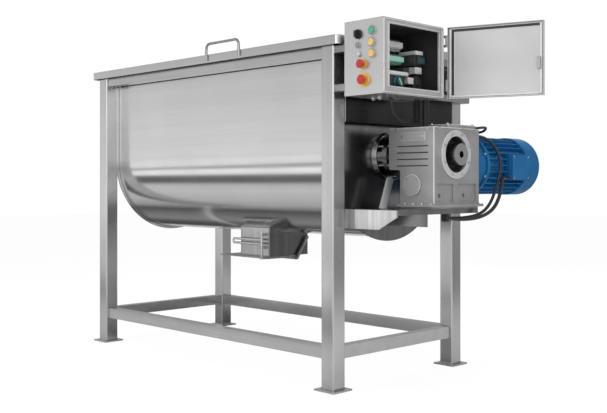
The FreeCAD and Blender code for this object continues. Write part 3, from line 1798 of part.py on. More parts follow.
def make_controls():
    face = -cabinet_front
    bezels = []
    for name, outer, hole in (
        ("selector", bezel_radius, cap_radius),
        ("green", bezel_radius, cap_radius),
        ("yellow_upper", bezel_radius, cap_radius),
        ("yellow_lower", bezel_radius, cap_radius),
        ("key", key_bezel, key_radius),
        ("lamp", key_bezel, key_radius),
    ):
        span = (face - bezel_thick, face)
        bezels.append(disc(f"bezel_{name}", "y", span, SPOTS[name], outer, hole + side_gap))
    spot = SPOTS["lamp"]
    lamp = rod("lamp_lens", "y", (face - bezel_thick, face + stem_in), spot, stem_radius)
    span = (face - cap_clear, face)
    holder = disc("lamp_holder", "y", span, spot, key_radius + side_gap, stem_radius)
    bezels += [lamp, holder]
    keep(group("button_bezels", *bezels), "button_bezels")

    rings = []
    for name, radius in (("stop", stop_ring), ("emergency", emergency_ring)):
        span = (face - stop_ring_thick, face)
        rings.append(disc(f"ring_{name}", "y", span, SPOTS[name], radius, stem_radius + side_gap))
    keep(group("stop_rings", *rings), "stop_rings")

    for name, spot in (
        ("green_button", SPOTS["green"]),
        ("yellow_button_upper", SPOTS["yellow_upper"]),
        ("yellow_button_lower", SPOTS["yellow_lower"]),
    ):
        cap = rod(f"{name}_cap", "y", (face - cap_out, face - cap_clear), spot, cap_radius)
        stem = rod(f"{name}_stem", "y", (face - cap_clear, face + stem_in), spot, stem_radius)
        keep(join(name, cap, stem), name)

    for name, spot, radius in (
        ("stop_button", SPOTS["stop"], stop_head),
        ("emergency_stop", SPOTS["emergency"], emergency_head),
    ):
        dome = turned(
            f"{name}_head",
            "y",
            spot,
            [
                (face - head_out, 0),
                (face - head_out + head_thick, 0),
                (face - head_out + head_thick, radius),
                (face - head_out + head_thick / 2, radius),
                (face - head_out, radius - head_thick / 2),
            ],
        )
        stem = rod(
            f"{name}_stem", "y", (face - head_out + head_thick, face + stem_in), spot, stem_radius
        )
        keep(join(name, dome, stem), name)

    spot = SPOTS["selector"]
    knob = rod("selector_disc", "y", (face - cap_out, face - cap_clear), spot, cap_radius)
    reach = cap_radius - side_gap * 2
    grip = block(
        "selector_grip",
        (spot[0] - knob_bar / 2, spot[0] + knob_bar / 2),
        (face - cap_out * 2, face - cap_out),
        (spot[1] - reach, spot[1] + reach),
    )
    stem = rod("selector_stem", "y", (face - cap_clear, face + stem_in), spot, stem_radius)
    keep(join("selector_knob", knob, grip, stem), "selector_knob")

    spot = SPOTS["key"]
    shoulder = face - side_gap * 2
    barrel = rod("key_barrel", "y", (face - cap_out, shoulder), spot, key_radius)
    slot = block(
        "key_slot",
        (spot[0] - key_slot_wide / 2, spot[0] + key_slot_wide / 2),
        (face - cap_out, face - cap_out + key_slot_deep),
        (spot[1] - key_slot_tall / 2, spot[1] + key_slot_tall / 2),
    )
    stem = rod("key_stem", "y", (shoulder, face + stem_in), spot, stem_radius)
    keep(cut("key_switch", join("key_solid", barrel, stem), slot), "key_switch")


# Cables, each held at both ends, and the glands and clips that hold them


def smooth_path(knots, step):
    """A short straight lead at each end, and between them small runs with tangent arcs."""
    spots = [FreeCAD.Vector(*[worth(value) for value in knot]) for knot in knots]
    curve = Part.BSplineCurve()
    curve.interpolate(spots)
    middle = curve.toShape(curve.parameter(spots[1]), curve.parameter(spots[-2]))
    pieces = int(round(middle.Length / step.value))
    points = [spots[0]] + middle.discretize(Number=pieces + 1) + [spots[-1]]
    edges = []
    start = points[0]
    for before, corner, after in zip(points, points[1:], points[2:]):
        inward, outward = corner - before, after - corner
        turn = inward.getAngle(outward)
        reach = 0.45 * min(inward.Length, outward.Length)
        if turn < math.radians(0.2):
            continue
        first = corner - inward.normalize() * reach
        last = corner + outward.normalize() * reach
        radius = reach / math.tan(turn / 2)
        sag = radius / math.cos(turn / 2) - radius
        toward = ((first + last) * 0.5 - corner).normalize()
        edges.append(Part.LineSegment(start, first).toShape())
        edges.append(Part.Arc(first, corner + toward * sag, last).toShape())
        start = last
    edges.append(Part.LineSegment(start, points[-1]).toShape())
    return Part.Wire(edges)


def cord(name, radius, step, knots):
    path = smooth_path(knots, step)
    lead = path.Edges[0]
    origin = lead.valueAt(lead.FirstParameter)
    heading = lead.tangentAt(lead.FirstParameter)
    section = Part.Wire(Part.makeCircle(radius.value, origin, heading))
    shape = path.makePipeShell([section], True, False)
    expected = math.pi * radius.value**2 * path.Length
    if abs(shape.Volume - expected) > expected * 0.01:
        raise ValueError(f"{name} is not a clean sweep")
    bends = [edge.Curve.Radius for edge in path.Edges if isinstance(edge.Curve, Part.Circle)]
    print(f"{name}: {path.Length:.0f} mm long, smallest bend {min(bends):.0f} mm")
    item = doc.addObject("Part::Feature", name)
    item.Shape = shape
    return keep(item, name)


def beside(x, y, z):
    """A place given from the gear unit's near side, its rear face and the platform's top."""
    return (gear_near + x, gear_rear + y, tray_top + z)


def make_cables():
    under = cabinet_low
    conduit = rod("conduit_rod", "z", (gear_top, under), (conduit_x, conduit_y), conduit_radius)
    keep(conduit, "cable_conduit")

    # From a gland under the cabinet, round a loop, into the plug beside the conduit
    mouth = under - gland_short
    entry = under - plug_drop + cable_grip
    plug_y = (plug_near_y, plug_near_y + grip_length)
    plug_x = (panel_gland_x - cable_grip, panel_gland_x + cable_grip)
    loop_y, loop_z = panel_gland_y + loop_radius, mouth - lead_short
    lower = loop_z - loop_radius
    cord(
        "panel_cable",
        thin_cable_radius,
        thin_step,
        [
            (panel_gland_x, panel_gland_y, mouth),
            (panel_gland_x, loop_y - loop_radius, loop_z),
            (panel_gland_x, loop_y - loop_radius * 0.866, loop_z - loop_radius * 0.5),
            (panel_gland_x, loop_y - loop_radius * 0.5, loop_z - loop_radius * 0.866),
            (panel_gland_x, loop_y, lower),
            (panel_gland_x, loop_y + lead_long, lower + 1),
            (panel_gland_x, plug_near_y - lead_long, entry),
            (panel_gland_x, plug_near_y, entry),
        ],
    )

    # From the gear unit's rear face, round the outside of the motor, to a clip under the tray
    sensor_mouth = gear_rear + gland_short
    cord(
        "sensor_cable",
        cable_radius,
        cord_step,
        [
            (sensor_gland_x, sensor_mouth, sensor_gland_z),
            (sensor_gland_x, sensor_mouth + lead_long, sensor_gland_z),
            beside(230, 70, 320),
            beside(243, 104, 301),
            beside(259, 126, 267),
            beside(275, 135, 220),
            beside(278, 131, 173),
            beside(272, 118, 122),
            beside(269, 96, 69),
            beside(266, 68, 22),
            beside(259, 32, -13),
            beside(243, -12, -34),
            beside(215, -58, -43),
            beside(191, -94, -45),
            (sensor_clip_x, sensor_clip_y + lead_long, clip_z),
            (sensor_clip_x, sensor_clip_y, clip_z),
        ],
    )

    # From the terminal box, down and under the tray, beside the other cable
    terminal_mouth = box_low_y - grip_length
    cord(
        "motor_cable",
        motor_cable_radius,
        cord_step,
        [
            (terminal_gland_x, terminal_mouth, terminal_gland_z),
            (terminal_gland_x, terminal_mouth - lead_long, terminal_gland_z),
            beside(275, 151, 136),
            beside(290, 126, 124),
            beside(302, 102, 93),
            beside(308, 76, 51),
            beside(306, 46, 7),
            beside(296, 4, -24),
            beside(279, -46, -42),
            beside(257, -96, -48),
            beside(235, -136, -48),
            (motor_clip_x, motor_clip_y + lead_long, clip_z),
            (motor_clip_x, motor_clip_y, clip_z),
        ],
    )

    # From the gear unit's top cover, over to the side of the lug on top of the motor
    lug_x = (motor_x - cable_grip * 2, motor_x + fin_thick)
    lug_low = motor_z + fin_radius
    lug_mouth = lug_low + lug_rise
    top_mouth = top_cover_high_y + gland_short
    top_z = gear_top + top_cover_thick / 2
    cord(
        "fan_lead",
        thin_cable_radius,
        thin_step,
        [
            (top_gland_x, top_mouth, top_z),
            (top_gland_x, top_mouth + lead_long, top_z),
            beside(219, 52, 365),
            beside(219, 82, 368),
            beside(212, 109, 368),
            beside(197, 131, 364),
            beside(178, 145, 356),
            (lug_x[1] + lead_short, lug_y, lug_mouth),
            (lug_x[1], lug_y, lug_mouth),
        ],
    )

    sensor_spot = (sensor_gland_x, sensor_gland_z)
    terminal_spot = (terminal_gland_x, terminal_gland_z)
    thin_grip = motor_cable_radius + gland_wall
    panel_spot = (panel_gland_x, panel_gland_y)
    held = [
        rod("gland_panel", "z", (mouth, under), panel_spot, thin_grip),
        block("gland_panel_plug", plug_x, plug_y, (under - plug_drop, under)),
        rod("gland_sensor", "y", (gear_rear, sensor_mouth), sensor_spot, cable_grip),
        rod("gland_terminal", "y", (terminal_mouth, box_low_y), terminal_spot, thin_grip),
        rod(
            "gland_top",
            "y",
            (top_cover_high_y, top_mouth),
            (top_gland_x, top_z),
            top_cover_thick / 2,
        ),
        block(
            "gland_motor",
            lug_x,
            (lug_y - cable_grip, lug_y + cable_grip),
            (lug_low, lug_mouth + thin_grip),
        ),
        block(
            "clip_sensor",
            (sensor_clip_x - cable_grip, sensor_clip_x + cable_grip),
            (sensor_clip_y - grip_length, sensor_clip_y),
            (clip_z - cable_grip, tray_under),
        ),
        block(
            "clip_motor",
            (motor_clip_x - cable_grip, motor_clip_x + cable_grip),
            (motor_clip_y - grip_length, motor_clip_y),
            (clip_z - cable_grip, tray_under),
        ),
        rod("plug_front", "z", (mouth, under), spare_front, cable_grip),
        rod("plug_middle", "z", (mouth, under), spare_middle, cable_grip),
    ]
    keep(group("cable_glands", *held), "cable_glands")


make_legs()
make_rails()
make_trough()
make_outlet()
make_flap()
make_latch()
make_rotor()
make_seal()
make_lid()
make_platform()
make_gear_unit()
make_motor()
make_cabinet()
make_switchgear()
make_door()
make_controls()
make_cables()

doc.recompute()
for item in doc.Objects:
    if "Invalid" in item.State or "Error" in item.State:
        raise ValueError(f"{item.Name} did not build: {item.State}")

os.makedirs("parts", exist_ok=True)
for piece in PARTS:
    shape = piece.Shape
    if shape.isNull() or not shape.isValid():
        raise ValueError(f"{piece.Label} has a broken shape")
    shape.exportStep(f"parts/{piece.Label}.step")
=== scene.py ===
import json
import math

import bmesh
import bpy
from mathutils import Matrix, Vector


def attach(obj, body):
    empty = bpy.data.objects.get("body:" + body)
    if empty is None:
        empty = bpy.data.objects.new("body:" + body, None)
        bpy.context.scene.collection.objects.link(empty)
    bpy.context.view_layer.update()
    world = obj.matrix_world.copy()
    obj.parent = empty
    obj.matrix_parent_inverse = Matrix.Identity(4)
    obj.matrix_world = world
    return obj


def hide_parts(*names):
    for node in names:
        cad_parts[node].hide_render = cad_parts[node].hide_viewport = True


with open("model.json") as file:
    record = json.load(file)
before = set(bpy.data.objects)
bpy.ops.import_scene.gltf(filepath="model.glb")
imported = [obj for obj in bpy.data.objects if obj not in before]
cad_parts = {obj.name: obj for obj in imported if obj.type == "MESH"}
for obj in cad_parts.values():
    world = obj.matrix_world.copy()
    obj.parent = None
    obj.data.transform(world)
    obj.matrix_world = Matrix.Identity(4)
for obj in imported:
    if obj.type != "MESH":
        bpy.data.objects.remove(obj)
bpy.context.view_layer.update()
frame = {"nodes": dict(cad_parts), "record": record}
nodes = frame["nodes"]
slot_of = {part["node"]: part["material_slot"] for part in frame["record"]["subparts"]}
scene = bpy.context.scene
scene.view_settings.view_transform = "Standard"

# Camera: it stands off the near corner of the drive end, a little below the
# shaft, and looks level at the machine.
EYE = (3.6195, -3.2745, 0.892)
HEADING = math.radians(45.62)
PHOTO_WIDE = 607
FOCAL_PIXELS = 915.5
HORIZON_RISE = 22.7


def linked(name, data):
    """A new object in the scene."""
    thing = bpy.data.objects.new(name, data)
    scene.collection.objects.link(thing)
    return thing


camera_data = bpy.data.cameras.new("camera")
camera_data.sensor_width = 36
camera_data.lens = camera_data.sensor_width * FOCAL_PIXELS / PHOTO_WIDE
camera_data.shift_y = -HORIZON_RISE / PHOTO_WIDE
camera = linked("camera", camera_data)
camera.location = EYE
camera.rotation_euler = (math.radians(90), 0, HEADING)
scene.camera = camera

# Studio: a pale floor and a white surround, with large soft lamps in front of the
# machine, at its drive end, above and behind. Cards that only shiny surfaces see
# give the bare steel its tones.
FLOOR_HALF = 20.0
FLOOR_GLOW = 0.9
LAMPS = [
    ("lamp_front", (-0.6, -4.2, 3.0), (0.0, 0.0, 0.9), 3.2, 86),
    ("lamp_right", (4.6, -0.8, 2.6), (0.9, -0.2, 1.1), 2.2, 44),
    ("lamp_top", (0.0, 0.0, 4.6), (0.0, 0.0, 0.0), 3.5, 60),
    ("lamp_back", (-1.5, 4.5, 2.8), (0.0, 0.0, 0.8), 2.5, 34),
]


def add(tree, kind, inputs=(), settings=None, **named):
    """A node with its settings and its inputs, each a plain value or another node's output."""
    node = tree.nodes.new(kind)
    for name, value in (settings or {}).items():
        setattr(node, name, value)
    numbered = inputs.items() if isinstance(inputs, dict) else enumerate(inputs)
    for key, value in [*numbered, *named.items()]:
        socket = node.inputs[key.replace("_", " ") if isinstance(key, str) else key]
        if isinstance(value, bpy.types.NodeSocket):
            tree.links.new(value, socket)
        else:
            socket.default_value = value
    return node


def spread(tree, value, low, high, start=0.3, stop=0.7):
    """A number that goes from low to high while value goes from start to stop."""
    return add(tree, "ShaderNodeMapRange", [value, start, stop, low, high]).outputs["Result"]


def grey(level):
    """A neutral colour."""
    return (level, level, level, 1.0)


def new_piece(name, points, faces):
    """An object at the origin, made from points in metres and faces."""
    data = bpy.data.meshes.new(name)
    data.from_pydata(points, [], faces)
    data.update()
    return linked(name, data)


def cleared(owner):
    """The empty node tree of a world or a material."""
    owner.use_nodes = True
    owner.node_tree.nodes.clear()
    return owner.node_tree


scene.world = bpy.data.worlds.new("surround")
sky = cleared(scene.world)
rays = add(sky, "ShaderNodeLightPath").outputs
larger = {"operation": "MAXIMUM"}
seen = add(sky, "ShaderNodeMath", [rays["Is Camera Ray"], rays["Is Glossy Ray"]], larger)
seen = add(sky, "ShaderNodeMath", [seen.outputs[0], rays["Is Transmission Ray"]], larger)
ambient = add(sky, "ShaderNodeBackground", Color=grey(1.0), Strength=0.42)
backdrop = add(sky, "ShaderNodeBackground", Color=grey(1.0), Strength=1.0)
both = add(sky, "ShaderNodeMixShader", [seen.outputs[0], ambient.outputs[0], backdrop.outputs[0]])
add(sky, "ShaderNodeOutputWorld", Surface=both.outputs[0])

for name, place, aim, side, power in LAMPS:
    lamp_data = bpy.data.lights.new(name, "AREA")
    lamp_data.size = side
    lamp_data.energy = power
    lamp = linked(name, lamp_data)
    lamp.location = place
    lamp.rotation_euler = (Vector(aim) - Vector(place)).to_track_quat("-Z", "Y").to_euler()
    lamp.visible_glossy = False

signs = ((-1, -1), (1, -1), (1, 1), (-1, 1))
floor_corners = [(x * FLOOR_HALF, y * FLOOR_HALF, 0.0) for x, y in signs]
floor = new_piece("floor", floor_corners, [(0, 1, 2, 3)])
ground = bpy.data.materials.new("pale_floor")
tree = cleared(ground)
camera_ray = add(tree, "ShaderNodeLightPath").outputs["Is Camera Ray"]
lit = add(tree, "ShaderNodeBsdfDiffuse", Color=grey(0.82))
glow = add(tree, "ShaderNodeEmission", Color=grey(1.0), Strength=1.05)
share = add(tree, "ShaderNodeMath", [camera_ray, FLOOR_GLOW], {"operation": "MULTIPLY"})
shown = add(tree, "ShaderNodeMixShader", [share.outputs[0], lit.outputs[0], glow.outputs[0]])
add(tree, "ShaderNodeOutputMaterial", Surface=shown.outputs[0])
floor.data.materials.append(ground)


def shade_card(name, corners, along, start, stop, tones):
    """A card that only shiny surfaces see, toned along one axis: each tone is (share, level)."""
    card = new_piece(name, corners, [(0, 1, 2, 3)])
    material = bpy.data.materials.new(name)
    tree = cleared(material)
    place_on = add(tree, "ShaderNodeTexCoord").outputs["Object"]
    reach = add(tree, "ShaderNodeSeparateXYZ", [place_on]).outputs[along]
    ramp = add(tree, "ShaderNodeValToRGB", [spread(tree, reach, 0.0, 1.0, start, stop)])
    stops = ramp.color_ramp.elements
    while len(stops) < len(tones):
        stops.new(1.0)
    for mark, (share, level) in zip(stops, tones):
        mark.position = share
        mark.color = grey(level)
    light = add(tree, "ShaderNodeEmission", Color=ramp.outputs["Color"], Strength=1.0)
    add(tree, "ShaderNodeOutputMaterial", Surface=light.outputs[0])
    card.data.materials.append(material)
    card.visible_camera = False
    card.visible_diffuse = False
    card.visible_shadow = False
    card.visible_transmission = False


def upright(first, second, low, high):
    """The corners of a standing card between two places on the floor."""
    return [(*first, low), (*second, low), (*second, high), (*first, high)]


shade_card(
    "card_right",
    upright((5.6, -0.6), (-0.8, 5.2), 0.0, 4.5),
    along="Z", start=0.0, stop=4.5,
    tones=[(0.0, 0.24), (0.15, 0.34), (0.35, 0.42), (1.0, 0.42)],
)
shade_card(
    "card_left",
    upright((-9.0, -1.5), (-1.5, -9.0), 0.0, 6.0),
    along="Z", start=0.0, stop=6.0,
    tones=[(0.0, 0.35), (0.03, 0.45), (0.06, 1.0), (0.14, 0.9), (0.24, 0.8), (0.5, 0.5), (1.0, 0.3)],
)
shade_card(
    "card_front",
    upright((0.9, -7.0), (3.9, -6.0), 0.0, 5.0),
    along="Z", start=0.0, stop=5.0,
    tones=[(0.0, 1.3), (0.5, 2.0), (1.0, 1.2)],
)
shade_card(
    "card_back",
    upright((-9.0, 1.0), (1.0, 9.0), 0.0, 3.0),
    along="Z", start=0.0, stop=3.0,
    tones=[(0.0, 0.26), (0.5, 0.3), (1.0, 0.6)],
)
shade_card(
    "card_top",
    [(-4.0, -4.0, 4.7), (-4.0, 4.0, 4.7), (4.0, 4.0, 4.7), (4.0, -4.0, 4.7)],
    along="Y", start=-4.0, stop=4.0,
    tones=[(0.0, 0.5), (0.5, 0.42), (1.0, 0.34)],
)
shade_card(
    "card_floor",
    [(-6.0, -4.0, 0.003), (0.93, -4.0, 0.003), (0.93, 1.0, 0.003), (-6.0, 1.0, 0.003)],
    along="Y", start=-4.0, stop=1.0,
    tones=[
        (0.0, 1.2), (0.28, 1.0), (0.34, 0.16), (0.48, 0.1), (0.53, 0.62),
        (0.6, 0.64), (0.68, 0.54), (0.72, 0.36), (0.745, 0.06),
        (0.77, 0.16), (0.83, 0.26), (0.88, 0.08), (1.0, 0.05),
    ],
)

# Frame: square stainless tube with rounded corners, brushed along each member
# and welded. The legs stand on square foot plates.
MM = 0.001
MERGE = 0.00002
FLAT = math.radians(0.6)
SHARP = math.radians(32)
GRAIN_DEPTH = 0.0002


def metres(point):
    """A place given in mm."""
    return Vector([value * MM for value in point])


def mixed(tree, share, first, second):
    """A colour between two others: the node keeps sockets 6 and 7 and output 2 for colours."""
    sockets = {0: share, 6: first, 7: second}
    return add(tree, "ShaderNodeMix", sockets, {"data_type": "RGBA"}).outputs[2]


def new_group(name, inputs, outputs, family="ShaderNodeTree"):
    """An empty group of nodes with its named inputs and outputs."""
    tree = bpy.data.node_groups.new(name, family)
    for label, kind, *value in inputs:
        socket = tree.interface.new_socket(label, in_out="INPUT", socket_type=kind)
        if value:
            socket.default_value = value[0]
    for label, kind in outputs:
        tree.interface.new_socket(label, in_out="OUTPUT", socket_type=kind)
    return tree, tree.nodes.new("NodeGroupInput"), tree.nodes.new("NodeGroupOutput")


def cloud_group():
    """Slow and fine unevenness, as handling, dust and rubbing leave it."""
    tree, given, made = new_group(
        "uneven_finish",
        [("Size", "NodeSocketFloat", 4.0), ("Grit", "NodeSocketFloat", 300.0)],
        [("Cloud", "NodeSocketFloat"), ("Speck", "NodeSocketFloat")],
    )
    place = add(tree, "ShaderNodeTexCoord").outputs["Object"]
    cloud = add(tree, "ShaderNodeTexNoise", Vector=place, Scale=given.outputs["Size"], Detail=5.0)
    speck = add(tree, "ShaderNodeTexNoise", Vector=place, Scale=given.outputs["Grit"], Detail=3.0)
    tree.links.new(cloud.outputs["Fac"], made.inputs["Cloud"])
    tree.links.new(speck.outputs["Fac"], made.inputs["Speck"])
    return tree


UNEVEN = cloud_group()


def grain_group():
    """The fine lines that brushing leaves, long along one direction."""
    tree, given, made = new_group(
        "brushed_grain",
        [("Fineness", "NodeSocketVector", (260.0, 260.0, 3.0))],
        [("Lines", "NodeSocketFloat"), ("Bands", "NodeSocketFloat")],
    )
    place = add(tree, "ShaderNodeTexCoord").outputs["Object"]
    stretched = add(
        tree, "ShaderNodeVectorMath", [place, given.outputs["Fineness"]], {"operation": "MULTIPLY"}
    ).outputs["Vector"]
    lines = add(tree, "ShaderNodeTexNoise", Vector=stretched, Scale=1.0, Detail=4.0, Roughness=0.7)
    wide = add(tree, "ShaderNodeVectorMath", [stretched], {"operation": "SCALE"}, Scale=0.09)
    bands = add(tree, "ShaderNodeTexNoise", Vector=wide.outputs["Vector"], Scale=1.0, Detail=2.0)
    tree.links.new(lines.outputs["Fac"], made.inputs["Lines"])
    tree.links.new(bands.outputs["Fac"], made.inputs["Bands"])
    return tree


GRAIN = grain_group()


def new_finish(name):
    """A material with its tree and the node of its surface."""
    material = bpy.data.materials.new(name)
    material.use_nodes = True
    return material, material.node_tree, material.node_tree.nodes["Principled BSDF"]


def raised(tree, body, heights, relief, depth):
    """Let the fine heights of a surface catch the light."""
    bump = add(tree, "ShaderNodeBump", Strength=relief, Distance=depth, Height=heights)
    tree.links.new(bump.outputs["Normal"], body.inputs["Normal"])


def steel(name, light, dark, rough, fineness, relief=0.04):
    """Bare stainless: two tones that follow the grain, and slow marks across it."""
    material, tree, body = new_finish(name)
    body.inputs["Metallic"].default_value = 1.0
    grain = add(tree, "ShaderNodeGroup", settings={"node_tree": GRAIN}, Fineness=fineness).outputs
    marks = add(tree, "ShaderNodeGroup", settings={"node_tree": UNEVEN}, Size=3.0, Grit=60.0).outputs
    shade = add(tree, "ShaderNodeMath", [grain["Lines"], grain["Bands"]], {"operation": "ADD"})
    shade = add(tree, "ShaderNodeMath", [shade.outputs[0], marks["Cloud"]], {"operation": "ADD"})
    share = spread(tree, shade.outputs[0], 0.0, 1.0, start=1.15, stop=1.85)
    tree.links.new(mixed(tree, share, grey(dark), grey(light)), body.inputs["Base Color"])
    gloss = spread(tree, marks["Cloud"], rough * 1.15, rough * 0.88)
    tree.links.new(gloss, body.inputs["Roughness"])
    raised(tree, body, grain["Lines"], relief, GRAIN_DEPTH)
    return material


def finish_piece(piece, material, slot, body, *stands_for):
    """Give a new piece its material, and join it to the body it moves with."""
    piece.data.materials.clear()
    piece.data.materials.append(material)
    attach(piece, body)
    if stands_for:
        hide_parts(*stands_for)
    return piece


def shaped(mesh, name, edge, segments=2):
    """An object from an edited mesh, with smooth faces and its sharp edges broken."""
    data = bpy.data.meshes.new(name)
    mesh.to_mesh(data)
    mesh.free()
    if "custom_normal" in data.attributes:
        data.attributes.remove(data.attributes["custom_normal"])
    data.shade_smooth()
    data.set_sharp_from_angle(angle=SHARP)
    piece = linked(name, data)
    edges = piece.modifiers.new("broken_edges", "BEVEL")
    edges.width = edge * MM
    edges.segments = segments
    edges.limit_method = "ANGLE"
    edges.angle_limit = SHARP
    edges.harden_normals = True
    return piece


def dress(material, *names):
    """Give CAD nodes that keep their own mesh a finish."""
    for name in names:
        for holder in nodes[name].material_slots:
            holder.material = material


def softened(node, material, body, edge, segments=2):
    """The solids of a node with their sharp edges broken, in place of the node."""
    mesh = bmesh.new()
    mesh.from_mesh(nodes[node].data)
    bmesh.ops.remove_doubles(mesh, verts=mesh.verts, dist=MERGE)
    bmesh.ops.dissolve_limit(mesh, angle_limit=FLAT, verts=mesh.verts, edges=mesh.edges)
    piece = shaped(mesh, node + "_dressed", edge, segments)
    return finish_piece(piece, material, slot_of[node], body, node)


def repeated(piece, tree, material):
    """Let a repeat group make the mesh of a piece, and keep that mesh alone."""
    repeat = piece.modifiers.new("repeat", "NODES")
    repeat.node_group = tree
    for socket in tree.interface.items_tree:
        if socket.name == "Material":
            repeat[socket.identifier] = material
    depsgraph = bpy.context.evaluated_depsgraph_get()
    whole = bpy.data.meshes.new_from_object(piece.evaluated_get(depsgraph))
    piece.modifiers.clear()
    piece.data = whole


def grown(name, points, edges, tree, material, slot, *stands_for, facts=None):
    """A fixed piece that a repeat group makes from points and edges given in mm."""
    data = bpy.data.meshes.new(name)
    data.from_pydata([metres(point) for point in points], edges, [])
    for label, values in (facts or {}).items():
        layer = data.attributes.new(label, "FLOAT_VECTOR", "POINT")
        layer.data.foreach_set("vector", values)
    piece = linked(name, data)
    repeated(piece, tree, material)
    return finish_piece(piece, material, slot, "frame", *stands_for)


def repeat_group(name, inputs):
    """An empty geometry group with a mesh and a finish coming in and a mesh going out."""
    mesh = ("Mesh", "NodeSocketGeometry")
    given = [mesh, *inputs, ("Material", "NodeSocketMaterial")]
    return new_group(name, given, [mesh], family="GeometryNodeTree")


def chance(tree, low, high, seed):
    """A number drawn for each point: the node keeps 2, 3, 8 and output 1 for plain numbers."""
    return add(tree, "FunctionNodeRandomValue", {2: low, 3: high, 8: seed}).outputs[1]


def send_out(tree, given, made, mesh):
    """Give the mesh that a repeat group has made its finish, and send it out."""
    finished = add(tree, "GeometryNodeSetMaterial", [mesh], Material=given.outputs["Material"])
    tree.links.new(finished.outputs[0], made.inputs[0])


BEAD_STEP = 0.002
BEAD_SIDES = 7
BEAD_THICKNESS = (0.85, 1.12)
RIPPLE_SHARE = 0.1


def bead_group():
    """A rippled weld bead along every edge of the mesh."""
    tree, given, made = repeat_group(
        "weld_beads",
        [
            ("Bead radius", "NodeSocketFloat", 0.0028),
            ("Ripple", "NodeSocketFloat", 0.004),
            ("Seed", "NodeSocketInt", 3),
        ],
    )
    path = add(tree, "GeometryNodeMeshToCurve", [given.outputs["Mesh"]])
    path = add(
        tree, "GeometryNodeResampleCurve", [path.outputs[0]], {"mode": "LENGTH"}, Length=BEAD_STEP
    )
    along = add(tree, "GeometryNodeSplineParameter").outputs["Length"]
    turns = add(tree, "ShaderNodeMath", [along, given.outputs["Ripple"]], {"operation": "DIVIDE"})
    turns = add(tree, "ShaderNodeMath", [turns.outputs[0], 2 * math.pi], {"operation": "MULTIPLY"})
    wave = add(tree, "ShaderNodeMath", [turns.outputs[0]], {"operation": "SINE"}).outputs[0]
    drawn = chance(tree, *BEAD_THICKNESS, given.outputs["Seed"])
    size = add(tree, "ShaderNodeMath", [wave, RIPPLE_SHARE, drawn], {"operation": "MULTIPLY_ADD"})
    radius = given.outputs["Bead radius"]
    ring = add(tree, "GeometryNodeCurvePrimitiveCircle", [BEAD_SIDES], Radius=radius)
    bead = add(
        tree, "GeometryNodeCurveToMesh", [path.outputs[0], ring.outputs[0], size.outputs[0], True]
    )
    bead = add(tree, "GeometryNodeSetShadeSmooth", [bead.outputs[0]])
    send_out(tree, given, made, bead.outputs[0])
    return tree


BEADS = bead_group()


def loop_of(corners):
    """The points and edges of a closed path."""
    count = len(corners)
    return corners, [(i, (i + 1) % count) for i in range(count)]


def open_path(corners):
    """The points and edges of a path with two ends."""
    return corners, [(i, i + 1) for i in range(len(corners) - 1)]


def welded(name, paths, slot="steel_brushed"):
    """All the beads of a group of welds as one piece."""
    points, edges = [], []
    for spots, links in paths:
        start = len(points)
        points += spots
        edges += [(a + start, b + start) for a, b in links]
    return grown(name, points, edges, BEADS, BEAD_STEEL, slot)


UPRIGHT = (230.0, 230.0, 2.4)
ALONG_X = (2.4, 230.0, 230.0)
ALONG_Y = (230.0, 2.4, 230.0)
LEG_STEEL = steel("leg_steel", 0.70, 0.60, rough=0.22, fineness=UPRIGHT)
RAIL_STEEL = steel("rail_steel", 0.68, 0.56, rough=0.24, fineness=ALONG_X)
FOOT_STEEL = steel("foot_steel", 0.66, 0.52, rough=0.28, fineness=ALONG_X)
BEAD_STEEL = steel("weld_steel", 0.50, 0.28, rough=0.30, fineness=(400.0, 400.0, 400.0), relief=0.2)
dress(LEG_STEEL, "legs")
dress(RAIL_STEEL, "top_rails", "stretchers")
softened("foot_plates", FOOT_STEEL, "frame", edge=1.0)
LEG_X = (847.5, 922.5)
LEG_Y = (382.5, 457.5)
FOOT_TOP = 8
RAIL_X = (860, 910)
RAIL_Y = (395, 445)
STRETCHER = (136, 191)
TOP_RAIL = (1442, 1502)
frame_welds = []
for x_sign in (-1, 1):
    for y_sign in (-1, 1):
        inner_x, outer_x = LEG_X[0] * x_sign, LEG_X[1] * x_sign
        inner_y, outer_y = LEG_Y[0] * y_sign, LEG_Y[1] * y_sign
        square = [(inner_x, inner_y), (outer_x, inner_y), (outer_x, outer_y), (inner_x, outer_y)]
        frame_welds.append(loop_of([(x, y, FOOT_TOP) for x, y in square]))
        rail_x = [side * x_sign for side in RAIL_X]
        rail_y = [side * y_sign for side in RAIL_Y]
        for (low, high), path in ((STRETCHER, loop_of), (TOP_RAIL, open_path)):
            rise = ((0, high), (0, low), (1, low), (1, high))
            frame_welds.append(path([(inner_x, rail_y[i], z) for i, z in rise]))
            frame_welds.append(path([(rail_x[i], inner_y, z) for i, z in rise]))
welded("frame_welds", frame_welds)

# Trough: one stainless sheet rolled to a U, with a folded rim and a black gasket,
# welded between two end plates. A panel closes the frame above the shaft seal.
PAINT_DEPTH = 0.0003


def coated(name, light, dark, rough, metal=0.0, size=4.0, grit=300.0, relief=0.03, coat=0.0):
    """Paint, powder coat, plastic or rubber: an uneven tone with a fine relief."""
    material, tree, body = new_finish(name)
    marks = add(tree, "ShaderNodeGroup", settings={"node_tree": UNEVEN}, Size=size, Grit=grit).outputs
    tone = mixed(tree, spread(tree, marks["Cloud"], 0.0, 1.0), dark, light)
    tree.links.new(tone, body.inputs["Base Color"])
    gloss = spread(tree, marks["Cloud"], rough * 1.2, rough * 0.85)
    tree.links.new(gloss, body.inputs["Roughness"])
    raised(tree, body, marks["Speck"], relief, PAINT_DEPTH)
    body.inputs["Metallic"].default_value = metal
    body.inputs["Coat Weight"].default_value = coat
    body.inputs["Coat Roughness"].default_value = 0.15
    return material


